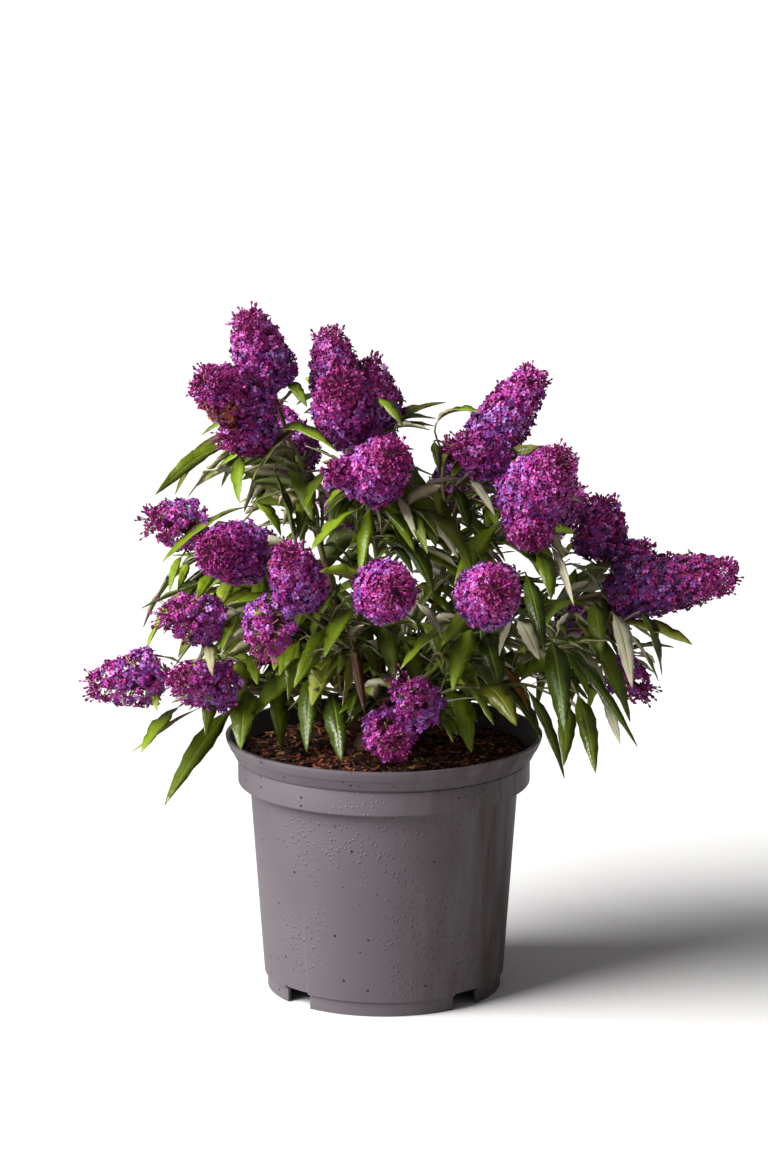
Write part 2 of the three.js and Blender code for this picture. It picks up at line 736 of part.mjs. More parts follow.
const plant = new THREE.Group();
const fixed = { pot: makePot(), compost: makeCompost(), stock: stockSolid(0) };
plant.add(meshOf("pot", fixed.pot, materials.pot));
plant.add(meshOf("compost", fixed.compost, materials.compost));
plant.add(meshOf("stock", fixed.stock, materials.bark));

const stockRoom = stockSolid(clearance);
const limbs = layout.map(({ name, limb }) => {
  const whole = taperedLimb(limb, bough.rootRadius, bough.tipRadius, bough.sides, bough.steps);
  const solid = largestBody(whole.subtract(stockRoom));
  plant.add(meshOf(`bough_${name}`, solid, materials.bark));
  return solid;
});

const rigid = [...Object.values(fixed), ...limbs].map(boxed);
const pieces = layout.map(makeShoots);
layout.forEach((mass, i) => {
  const others = [...rigid, ...pieces.filter((_, k) => k !== i).flat()];
  pieces[i].push(...makeLeaves(mass, i, pieces[i], others));
  const joined = wasm.Manifold.union(pieces[i].map(({ solid }) => solid));
  plant.add(meshOf(`foliage_${mass.name}`, largestBody(joined), materials.foliage));
});

export default plant;
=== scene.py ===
# A dwarf butterfly bush in full flower, in a plastic nursery pot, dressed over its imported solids.
# Lengths are millimetres and angles are degrees until a mesh is made; +Y is the back of the plant.

import math
import bpy
import numpy as np
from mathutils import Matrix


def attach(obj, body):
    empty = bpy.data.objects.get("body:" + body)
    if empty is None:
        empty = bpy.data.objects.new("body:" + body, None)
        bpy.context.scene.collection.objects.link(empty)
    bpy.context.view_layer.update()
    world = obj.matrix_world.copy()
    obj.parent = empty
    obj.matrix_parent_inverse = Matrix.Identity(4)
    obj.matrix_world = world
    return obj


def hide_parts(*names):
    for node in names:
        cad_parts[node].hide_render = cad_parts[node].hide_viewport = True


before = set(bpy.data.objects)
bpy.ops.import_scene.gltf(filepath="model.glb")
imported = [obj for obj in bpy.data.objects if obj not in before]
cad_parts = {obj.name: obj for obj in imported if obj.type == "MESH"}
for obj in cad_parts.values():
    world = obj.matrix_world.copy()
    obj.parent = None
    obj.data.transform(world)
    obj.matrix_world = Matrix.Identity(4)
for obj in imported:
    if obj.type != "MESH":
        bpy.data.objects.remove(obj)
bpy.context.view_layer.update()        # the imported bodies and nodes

toMetres = 0.001
up = np.array([0.0, 0.0, 1.0])
chance = np.random.default_rng(41)


# Repeatable noise from 0 to 1: what is left over of a large sine of up to three counters.
def noise(a, b=0, c=0):
    s = np.sin(a * 12.9898 + b * 78.233 + c * 37.719) * 43758.5453
    return s - np.floor(s)


def between(ends, share):
    return ends[0] + (ends[1] - ends[0]) * share


def unit(v):
    return v / np.linalg.norm(v, axis=-1, keepdims=True)


# The angles of so many sides, spread evenly once round.
def around(sides):
    return np.arange(sides) * 2 * np.pi / sides


# A direction from its heading round the vertical and its rise above the level, both in radians.
def direction(heading, rise):
    heading, rise = np.broadcast_arrays(heading, rise)
    return np.stack([np.cos(rise) * np.cos(heading), np.cos(rise) * np.sin(heading), np.sin(rise)], -1)


# The camera's view, which flower heads and the largest leaves are placed in: a frame of 768 x 1152 pixels.
view = {"back": 3100, "height": 973, "pitch": 12.17, "lens": 137.6, "sensor": 36, "frame": (768, 1152)}
eye = np.array([0.0, -view["back"], view["height"]])


# The direction from the eye through a pixel: forward, turned down by the pitch, plus the pixel's offset
# from the middle of the frame over the focal length in pixels.
def sightLine(across, down):
    width, height = view["frame"]
    focal = view["lens"] / view["sensor"] * height
    pitch = math.radians(view["pitch"])
    right, rise = (across - width / 2) / focal, (height / 2 - down) / focal
    return unit(np.array([right, math.cos(pitch) + rise * math.sin(pitch),
                          rise * math.cos(pitch) - math.sin(pitch)]))


# The point on a pixel's sight line at the given depth, which is its y.
def seen(across, down, depth):
    ray = sightLine(across, down)
    return eye + ray * (depth - eye[1]) / ray[1]


# The nearer point on a pixel's sight line at the given distance from another point, or the closest it comes.
def seenFrom(start, across, down, distance):
    ray = sightLine(across, down)
    closest = ray @ (start - eye)
    beyond = closest ** 2 - (start - eye) @ (start - eye) + distance ** 2
    return eye + ray * (closest - math.sqrt(max(beyond, 0.0)))


# Points of Bezier curves: each control point weighted by its Bernstein polynomial in t.
def bezier(controls, t):
    n = controls.shape[-2] - 1
    t = np.asarray(t, float)[..., None]
    weights = [math.comb(n, i) * (1 - t) ** (n - i) * t ** i for i in range(n + 1)]
    return sum([weight * controls[..., None, i, :] for i, weight in enumerate(weights)])


# The curve parameter at each share of the curve's length, read off the summed lengths of 200 chords, then
# the length itself.
def evenly(controls, shares):
    t = np.linspace(0, 1, 201)
    chords = np.linalg.norm(np.diff(bezier(controls, t), axis=0), axis=1)
    lengths = np.concatenate([[0], np.cumsum(chords)])
    return np.interp(np.asarray(shares) * lengths[-1], lengths, t), lengths[-1]


def pointAt(controls, shares):
    return bezier(controls, evenly(controls, shares)[0])


# The tangent is the Bezier curve of the differences of the control points.
def tangentAt(controls, shares):
    return unit(bezier(np.diff(controls, axis=-2), evenly(controls, shares)[0]))


# Normals carried along a curve: the first lies across the tangent's least axis, and each next one is the
# last, turned by the turn of the tangent.
def carriedNormals(tangents):
    across = np.eye(3)[np.argmin(np.abs(tangents[0]))]
    normals = [np.cross(tangents[0], unit(np.cross(tangents[0], across)))]
    for before, after in zip(tangents[:-1], tangents[1:]):
        axis, normal = np.cross(before, after), normals[-1]
        sine, cosine = np.linalg.norm(axis), float(before @ after)
        if sine > 1e-9:
            axis = axis / sine
            normal = normal * cosine + np.cross(axis, normal) * sine + axis * (axis @ normal) * (1 - cosine)
        normals.append(normal)
    return np.array(normals)


# Rings of points turned about an upright axis: x = r cos a, y = r sin a, z = height.
def turned(radius, height, sides, middle=(0, 0)):
    a = around(sides)
    x, y = radius * np.cos(a) + middle[0], radius * np.sin(a) + middle[1]
    return np.stack(np.broadcast_arrays(x, y, height), -1)


# Tubes round curves: each ring is centre + r (n cos a + b sin a), with n square to the tangent and b square
# to both.
def tubePoints(controls, radii, sides):
    t = np.linspace(0, 1, radii.shape[1])
    tangents = unit(bezier(np.diff(controls, axis=-2), t))
    least = np.eye(3)[np.argmin(np.abs(tangents).sum(1), axis=-1)]
    n = unit(np.cross(tangents, least[:, None]))
    b = np.cross(tangents, n)
    a = around(sides)[:, None]
    radii = radii[..., None, None] if radii.ndim == 2 else radii[..., None]
    ring = n[:, :, None] * np.cos(a) + b[:, :, None] * np.sin(a)
    return bezier(controls, t)[:, :, None] + ring * radii


# Quads between neighbouring rings of a grid of rows x columns of points, closed round the columns.
def ringQuads(rows, columns):
    a = np.arange(rows - 1)[:, None] * columns
    k = np.arange(columns)[None]
    nextK = (k + 1) % columns
    return np.stack([a + k, a + nextK, a + columns + nextK, a + columns + k], -1).reshape(-1, 4)


# The same face pattern repeated for every copy of a template with so many points.
def repeated(faces, copies, pointsEach):
    shift = np.arange(copies)[:, None, None] * pointsEach
    return (faces[None] + shift).reshape(-1, faces.shape[1])


# The faces that close a grid's first and last row.
def endFaces(rows, columns):
    return np.stack([np.arange(columns)[::-1], (rows - 1) * columns + np.arange(columns)])


def tubeFaces(copies, rings, sides):
    each = rings * sides
    return repeated(ringQuads(rings, sides), copies, each), repeated(endFaces(rings, sides), copies, each)


boxPoints = np.array([(x, y, z) for x in (-0.5, 0.5) for y in (-0.5, 0.5) for z in (-0.5, 0.5)])
boxFaces = np.array([(0, 1, 3, 2), (4, 6, 7, 5), (0, 4, 5, 1), (2, 3, 7, 6), (0, 2, 6, 4), (1, 5, 7, 3)])


def addObject(name, data):
    thing = bpy.data.objects.new(name, data)
    bpy.context.scene.collection.objects.link(thing)
    return thing


# Turns arrays of points (mm) and of faces into one piece that rides on the plant. Each entry of faceSets is
# (faces as rows of point numbers, material slot of each face, smooth or flat).
def makePiece(name, points, faceSets, materials, nodes=(), uv=None):
    mesh = bpy.data.meshes.new(name)
    corners = np.concatenate([faces.ravel() for faces, _, _ in faceSets]).astype(np.int32)
    sizes = np.concatenate([np.full(len(faces), faces.shape[1]) for faces, _, _ in faceSets])
    slots = np.concatenate([np.broadcast_to(slot, len(faces)) for faces, slot, _ in faceSets])
    smooth = np.concatenate([np.full(len(faces), soft) for faces, _, soft in faceSets])
    mesh.vertices.add(len(points))
    mesh.vertices.foreach_set("co", (np.asarray(points) * toMetres).astype(np.float32).ravel())
    mesh.loops.add(len(corners))
    mesh.loops.foreach_set("vertex_index", corners)
    mesh.polygons.add(len(sizes))
    mesh.polygons.foreach_set("loop_start", np.concatenate([[0], np.cumsum(sizes)[:-1]]).astype(np.int32))
    mesh.polygons.foreach_set("material_index", slots.astype(np.int32))
    mesh.polygons.foreach_set("use_smooth", smooth)
    if uv is not None:
        layer = mesh.uv_layers.new(name="along")
        layer.data.foreach_set("uv", uv[corners].astype(np.float32).ravel())
    for material in materials:
        mesh.materials.append(material)
    mesh.update(calc_edges=True)
    mesh.validate()
    piece = addObject(name, mesh)
    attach(piece, "root")
    if nodes:
        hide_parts(*nodes)
    return piece


# A colour from red, green and blue out of 255, made linear by the standard screen curve.
def colour(*levels):
    shares = [level / 255 for level in levels]
    return (*[(c / 12.92 if c <= 0.04045 else ((c + 0.055) / 1.055) ** 2.4) for c in shares], 1.0)


# Links an input to a socket, or to a node's first output, or else sets its value.
def feed(tree, socket, value):
    if isinstance(value, bpy.types.Node):
        value = next(output for output in value.outputs if output.enabled)
    if isinstance(value, bpy.types.NodeSocket):
        tree.links.new(value, socket)
    else:
        socket.default_value = value


def addNode(tree, kind, inputs, **settings):
    node = tree.nodes.new("ShaderNode" + kind)
    for name, value in settings.items():
        setattr(node, name, value)
    for label, value in inputs.items():
        feed(tree, node.inputs[label], value)
    return node


def addMath(tree, operation, *values, **settings):
    return addNode(tree, "Math", dict(enumerate(values)), operation=operation, **settings)


# A value carried from one range to another, and held to it.
def addRange(tree, value, source, target=(0.0, 1.0)):
    return addNode(tree, "MapRange", {"Value": value, "From Min": source[0], "From Max": source[1],
                                      "To Min": target[0], "To Max": target[1]})


def addBlend(tree, under, over, share):
    return addNode(tree, "Mix", {"A": under, "B": over, "Factor": share}, data_type="RGBA")


def addGroup(tree, group, **inputs):
    return addNode(tree, "Group", inputs, node_tree=group)


def addRelief(tree, height, strength, distance=0.001):
    bump = addNode(tree, "Bump", {"Height": height, "Strength": strength, "Distance": distance})
    feed(tree, tree.nodes["Principled BSDF"].inputs["Normal"], bump)


# A shader group that several materials share. Its sockets are vectors, colours or plain numbers, as their
# values have three parts, four or one.
def newGroup(name, inputs, outputs):
    group = bpy.data.node_groups.new(name, "ShaderNodeTree")
    kinds = {3: "NodeSocketVector", 4: "NodeSocketColor", 1: "NodeSocketFloat"}
    for label, value in inputs.items():
        socket = group.interface.new_socket(name=label, in_out="INPUT", socket_type=kinds[np.size(value)])
        socket.default_value = value
    for label, parts in outputs.items():
        group.interface.new_socket(name=label, in_out="OUTPUT", socket_type=kinds[parts])
    return group, group.nodes.new("NodeGroupInput").outputs, group.nodes.new("NodeGroupOutput").inputs


# Tone drift: the colour is darkened and lightened by a soft noise of the given scale.
def makeToneDrift():
    group, given, result = newGroup(
        "toneDrift", {"Vector": (0, 0, 0), "Color": (0.5, 0.5, 0.5, 1), "Scale": 20.0, "Amount": 0.3},
        {"Color": 4, "Tone": 1})
    broad = addNode(group, "TexNoise", {"Vector": given["Vector"], "Scale": given["Scale"], "Detail": 4.0})
    centred = addRange(group, broad, (0.25, 0.75), (-1.0, 1.0))
    swing = addMath(group, "MULTIPLY_ADD", centred, given["Amount"], 1.0)
    feed(group, result["Color"],
         addNode(group, "VectorMath", {0: given["Color"], "Scale": swing}, operation="SCALE"))
    feed(group, result["Tone"], broad)
    return group


# Grain: a fine noise as a height, for a Bump node.
def makeGrain():
    group, given, result = newGroup("fineGrain", {"Vector": (0, 0, 0), "Scale": 400.0, "Roughness": 0.6},
                                    {"Height": 1})
    sockets = {label: given[label] for label in ("Vector", "Scale", "Roughness")}
    feed(group, result["Height"], addNode(group, "TexNoise", {**sockets, "Detail": 3.0}))
    return group


# Spots: round marks in a share of the cells, 1 at a cell's point and fading to 0 at the given radius.
def makeSpots():
    group, given, result = newGroup(
        "scatteredSpots", {"Vector": (0, 0, 0), "Scale": 100.0, "Radius": 0.2, "Share": 0.5}, {"Mask": 1})
    cells = addNode(group, "TexVoronoi", {"Vector": given["Vector"], "Scale": given["Scale"]})
    fade = addMath(group, "SUBTRACT", 1.0, addMath(group, "DIVIDE", cells, given["Radius"]), use_clamp=True)
    luck = addNode(group, "SeparateColor", {"Color": cells.outputs["Color"]})
    chosen = addMath(group, "LESS_THAN", luck, given["Share"])
    feed(group, result["Mask"], addMath(group, "MULTIPLY", fade, chosen))
    return group


toneDrift, fineGrain, scatteredSpots = makeToneDrift(), makeGrain(), makeSpots()


# A finish with drifting tone and a fine grain, on Object coordinates.
def makeFinish(name, base, roughness, drift=0.25, driftScale=30.0, grain=0.1, grainScale=500.0):
    material = bpy.data.materials.new(name)
    material.use_nodes = True
    tree = material.node_tree
    place = addNode(tree, "TexCoord", {}).outputs["Object"]
    shader = tree.nodes["Principled BSDF"].inputs
    feed(tree, shader["Base Color"],
         addGroup(tree, toneDrift, Vector=place, Color=base, Scale=driftScale, Amount=drift))
    feed(tree, shader["Roughness"], roughness)
    if grain:
        addRelief(tree, addGroup(tree, fineGrain, Vector=place, Scale=grainScale), grain)
    return material


pot = {
    "sides": 144, "height": 188, "rimRadius": 115, "rimWidth": 3, "rimEdge": 2.5, "lipHeight": 15,
    "bandRadius": 106, "bandBottom": 154, "bodyTop": 151, "bodyTopRadius": 97.3, "bodyBottomRadius": 87.4,
    "footHeight": 11, "footRadius": 85.2, "wall": 2, "floorBottom": 9, "floorThickness": 2, "padRadius": 30,
    "padSlope": 4, "corner": 1, "bead": 0.9, "beadBottom": 180.5, "groove": 1.2, "notchHeight": 12.5,
    "notchDepth": 13, "notchTurn": 15.5, "notchAt": (-136.5, -46.5, 43.5, 133.5),
    "bevel": 0.4, "bevelAngle": 28, "sharpAngle": 40, "insideTone": colour(30, 23, 20),
}
plastic = {
    "base": colour(105, 97, 103), "roughness": 0.42, "drift": 0.09, "driftScale": 14,
    "speck": colour(34, 22, 20), "specks": {"Scale": 170.0, "Radius": 0.2, "Share": 0.13}, "speckEdge": 0.3,
    # the brown is partly real stain and partly painted shade on the side away from the key light
    "stainAndShade": colour(66, 50, 42), "stainRun": (1.0, 1.0, 0.12), "stainScale": 75.0, "stainFrom": (0.3, 0.66),
    "shadedSide": (0.0, 0.085), "drops": ({"Scale": 360.0, "Radius": 0.36, "Share": 0.5},
                                         {"Scale": 210.0, "Radius": 0.3, "Share": 0.35}),
    "dropsFrom": (0.46, 0.58), "dropHeight": 0.9, "grain": 0.12, "grainScale": 900.0, "relief": 0.8,
}


# Grey moulded plastic: a soft tone drift, dark specks of soil, runs of brown stain that are long and
# narrow, and round bumps where water has dried, in patches where the tone is high. The runs grow towards +X,
# the side away from the key light, so they are partly real stain and partly painted shade.
def makePotPlastic():
    s = plastic
    material = makeFinish("pot plastic", s["base"], s["roughness"], s["drift"], s["driftScale"], grain=0)
    tree = material.node_tree
    place, tone = tree.nodes["Texture Coordinate"].outputs["Object"], tree.nodes["Group"].outputs

    def spots(sockets):
        return addGroup(tree, scatteredSpots, Vector=place, **sockets)

    dirty = addBlend(tree, tone["Color"], s["speck"], addRange(tree, spots(s["specks"]), (0, s["speckEdge"])))
    stretched = addNode(tree, "Mapping", {"Vector": place, "Scale": s["stainRun"]})
    runs = addRange(tree, addGroup(tree, fineGrain, Vector=stretched, Scale=s["stainScale"]), s["stainFrom"])
    # painted shade: the brown runs grow towards +X, the side away from the key light
    side = addRange(tree, addNode(tree, "SeparateXYZ", {"Vector": place}), s["shadedSide"])
    stainedAndShaded = addBlend(tree, dirty, s["stainAndShade"], addMath(tree, "MULTIPLY", runs, side))
    feed(tree, tree.nodes["Principled BSDF"].inputs["Base Color"], stainedAndShaded)
    drops = addMath(tree, "MAXIMUM", *[spots(sockets) for sockets in s["drops"]])
    wet = addRange(tree, tone["Tone"], s["dropsFrom"], (0, s["dropHeight"]))
    fine = addGroup(tree, fineGrain, Vector=place, Scale=s["grainScale"])
    height = addMath(tree, "MULTIPLY_ADD", fine, s["grain"], addMath(tree, "MULTIPLY", drops, wet))
    addRelief(tree, height, s["relief"])
    return material


# The pot is a turned profile of (radius, height), from under the pad round to the floor inside.
def makePot():
    p = pot
    wall, corner, height, foot = p["wall"], p["corner"], p["height"], p["footHeight"]
    bottomRadius, topRadius, footRadius = p["bodyBottomRadius"], p["bodyTopRadius"], p["footRadius"]
    band, groove, below = p["bandRadius"], p["groove"], p["floorBottom"]
    lipBottom, floorTop = height - p["lipHeight"], below + p["floorThickness"]
    lipShare = (p["beadBottom"] - lipBottom) / (height - p["rimEdge"] - lipBottom)
    lipAt = between([band + 2 * corner, p["rimRadius"] - corner / 2], lipShare) + p["bead"] / 2
    profile = np.array([
        (0, 0), (p["padRadius"], 0), (p["padRadius"] + p["padSlope"], below),
        (footRadius - wall - corner, below), (footRadius - wall, 0),
        (footRadius, 0), (footRadius, foot), (bottomRadius, foot),
        (topRadius, p["bodyTop"]), (band - 0.5, p["bandBottom"] - 0.3), (band, p["bandBottom"] + 0.4),
        (band, lipBottom - 2 * groove), (band - groove / 2, lipBottom - 1.6 * groove),
        (band - groove / 2, lipBottom - 0.6 * groove), (band + 2 * corner, lipBottom),
        (lipAt - p["bead"], p["beadBottom"] - 0.5), (lipAt, p["beadBottom"]),
        (p["rimRadius"] - corner / 2, height - p["rimEdge"]), (p["rimRadius"], height),
        (p["rimRadius"] - p["rimWidth"], height), (band - wall, lipBottom + corner),
        (band - wall, p["bandBottom"] + corner), (topRadius - wall, p["bodyTop"] + corner),
        (bottomRadius - wall, foot + 3 * corner), (footRadius - wall, floorTop), (0, floorTop),
    ])
    rings, sides = profile[1:-1], p["sides"]
    points = turned(rings[:, :1], rings[:, 1:], sides).reshape(-1, 3)
    points = np.vstack([points, [[0, 0, profile[0, 1]], [0, 0, profile[-1, 1]]]])
    k = np.arange(sides)
    nextK, last = (k + 1) % sides, (len(rings) - 1) * sides
    under = np.stack([nextK, k, np.full_like(k, len(points) - 2)], -1)
    floor = np.stack([last + k, last + nextK, np.full_like(k, len(points) - 1)], -1)
    inner = np.repeat(np.arange(len(rings) - 1) > list(rings[:, 1]).index(height), sides)
    # The inside of the pot is dark brown.
    looks = [makePotPlastic(),
             makeFinish("pot inside", p["insideTone"], 0.5, drift=0.35, driftScale=60, grain=0.2)]
    shell = makePiece("nursery_pot", points, [(ringQuads(len(rings), sides), inner.astype(int), True),
                      (under, 0, True), (floor, 1, True)], looks, ["pot"])
    cutNotches(shell)


# Drainage notches are boxes cut out of the foot, then every sharp edge is rounded.
def cutNotches(shell):
    p = pot
    width = 2 * p["footRadius"] * math.tan(math.radians(p["notchTurn"] / 2))
    box = boxPoints * (p["notchDepth"], width, 2 * p["notchHeight"])
    box[:, 0] += p["bodyBottomRadius"] + p["wall"] - p["notchDepth"] / 2
    turns = np.radians(p["notchAt"])
    x = box[:, 0] * np.cos(turns)[:, None] - box[:, 1] * np.sin(turns)[:, None]
    y = box[:, 0] * np.sin(turns)[:, None] + box[:, 1] * np.cos(turns)[:, None]
    points = np.stack([x, y, np.broadcast_to(box[:, 2], x.shape)], -1).reshape(-1, 3)
    mesh = bpy.data.meshes.new("notches")
    mesh.from_pydata((points * toMetres).tolist(), [], repeated(boxFaces, len(turns), len(box)).tolist())
    cutter = addObject("notches", mesh)
    cut = shell.modifiers.new("notches", "BOOLEAN")
    cut.object = cutter
    cut.operation = "DIFFERENCE"
    cut.solver = "EXACT"
    edge = shell.modifiers.new("edges", "BEVEL")
    edge.width = p["bevel"] * toMetres
    edge.segments = 2
    edge.limit_method = "ANGLE"
    edge.angle_limit = math.radians(p["bevelAngle"])
    finished = bpy.data.meshes.new_from_object(shell.evaluated_get(bpy.context.evaluated_depsgraph_get()))
    shell.modifiers.clear()
    shell.data = finished
    finished.set_sharp_from_angle(angle=math.radians(p["sharpAngle"]))
    bpy.data.objects.remove(cutter)


makePot()
print("pot done")


compost = {
    "level": 174, "dome": 4, "radius": 102.6, "middle": 0.6, "rings": 46, "sides": 180,
    "waves": 40, "waveLengths": (5, 26), "relief": 1.3,
    "under": ((102.6, 157), (94, 153.5), (86.5, 60), (0.6, 60)),    # radius and height down inside the pot
    "peat": colour(44, 24, 15),
}
chip = {
    "count": 2600, "inner": 0.03, "edge": 3, "lengths": (2, 8), "long": 16, "rarity": 7, "widths": (0.7, 3.4),
    "slim": 0.7, "heights": (0.4, 1.4), "wander": (0.55, 1.15), "tip": 0.22, "lean": 0.3, "lift": 0.5,
    "tones": [("dark", colour(44, 25, 16), 0.4), ("brown", colour(98, 50, 28), 0.33),
              ("red", colour(160, 82, 44), 0.19), ("straw", colour(196, 140, 92), 0.08)],
}


# The bed's height: a low dome, and ripples that are a sum of sine waves with random directions and lengths.
def bedHeight(x, y):
    c = compost
    local = np.random.default_rng(7)
    heading = local.uniform(0, 2 * np.pi, c["waves"])
    waveLength = local.uniform(*c["waveLengths"], c["waves"])
    phase = local.uniform(0, 2 * np.pi, c["waves"])
    ripple = np.zeros_like(x)
    for h, w, f in zip(heading, waveLength, phase):
        wave = np.sin((x * np.cos(h) + y * np.sin(h)) * 2 * np.pi / w + f)
        ripple += wave * (w / c["waveLengths"][1]) ** 0.5
    share = np.hypot(x, y) / c["radius"]
    return c["level"] + c["dome"] * (1 - share ** 2) + ripple * c["relief"] * (2 / c["waves"]) ** 0.5


# The bed is turned rings with the bed's height, and its underside goes down inside the pot.
def makeCompost():
    c = compost
    under, rows = np.array(c["under"]), c["rings"] + len(c["under"])
    radius = np.concatenate([np.linspace(c["middle"], c["radius"], c["rings"]), under[:, 0]])[:, None]
    points = turned(radius, 0, c["sides"])
    points[:c["rings"], :, 2] = bedHeight(points[:c["rings"], :, 0], points[:c["rings"], :, 1])
    points[c["rings"]:, :, 2] = under[:, 1:]
    bed = makeFinish("peat", c["peat"], 0.95, drift=0.5, driftScale=120, grain=0.9, grainScale=700)
    faceSets = [(faces[:, ::-1], 0, True) for faces in tubeFaces(1, rows, c["sides"])]
    makePiece("compost_bed", points.reshape(-1, 3), faceSets, [bed], ["compost"])


# Chips of bark: boxes with wandering corners, each laid flat on the bed, turned and tipped a little.
def makeChips():
    c = chip
    n = c["count"]
    reach = np.sqrt(chance.uniform(c["inner"], 1, n)) * (compost["radius"] - c["edge"])
    angle = chance.uniform(0, 2 * np.pi, n)
    x, y = reach * np.cos(angle), reach * np.sin(angle)
    long = chance.uniform(0, 1, n) ** c["rarity"]
    length = chance.uniform(*c["lengths"], n) + c["long"] * long
    width = chance.uniform(*c["widths"], n) * (1 - c["slim"] * long)
    size = np.stack([length, width, chance.uniform(*c["heights"], n)], -1)
    corners = boxPoints[None] * size[:, None] * chance.uniform(*c["wander"], (n, len(boxPoints), 3))
    forward = direction(chance.uniform(0, 2 * np.pi, n), chance.normal(0, c["tip"], n))
    side = unit(np.cross(up, forward) + up * chance.normal(0, c["lean"], (n, 1)))
    axes = np.stack([forward, side, np.cross(forward, side)], 1)
    centre = np.stack([x, y, bedHeight(x, y) + c["lift"]], -1)
    points = (corners @ axes + centre[:, None]).reshape(-1, 3)
    tone = chance.choice(len(c["tones"]), n, p=[share for _, _, share in c["tones"]])
    looks = [makeFinish(f"bark chip {name}", base, 0.85, 0.35, driftScale=200, grain=0.4, grainScale=600)
             for name, base, _ in c["tones"]]
    faces = repeated(boxFaces, n, len(boxPoints))
    makePiece("compost_chips", points, [(faces, np.repeat(tone, len(boxFaces)), False)], looks)


makeCompost()
makeChips()
print("compost done")


# The plan of the plant: its stock, boughs and shoots, laid out by the same rule as its solids.
clearance = 0.3
stockFoot = compost["level"] + compost["dome"] + clearance
stock = {"top": 224, "waist": 12.5, "lean": (-2, 1), "rings": 36, "sides": 48,
         "profile": [(0, 21), (0.25, 15.5), (0.6, 12.5), (0.88, 13.5), (1, 9.5)]}
bough = {"rootRadius": 4, "tipRadius": 2.8, "lowest": 9, "highest": 3, "rootShare": 0.7, "share": 0.38,
         "bulge": 6, "sag": 4}
bend = {"pull": 0.33, "swing": 4, "steps": 3}


# A shoot whose flower head shows from the front: it ends at the head's foot and faces its tip, both given
# as (pixels across, pixels down, depth) in the view. The head's size is (length, width), and dark is the
# share of its florets painted a tone darker, as painted shade on heads that stand in shade.
def headed(fork, foot, tip, size, loose=False, dark=0):
    start = seen(*foot)
    return {"fork": fork, "foot": start, "aim": unit(seen(*tip) - start), "head": size, "loose": loose,
            "dark": dark, "shown": True}


# Any other shoot: (azimuth, reach, height) of its end and (heading, rise) there.
def leafy(fork, end, facing, size=None):
    azimuth, reach, height = math.radians(end[0]), end[1], end[2]
    foot = np.array([reach * math.cos(azimuth), reach * math.sin(azimuth), height])
    return {"fork": fork, "foot": foot, "aim": direction(*np.radians(facing)), "head": size,
            "loose": False, "dark": 0, "shown": False}


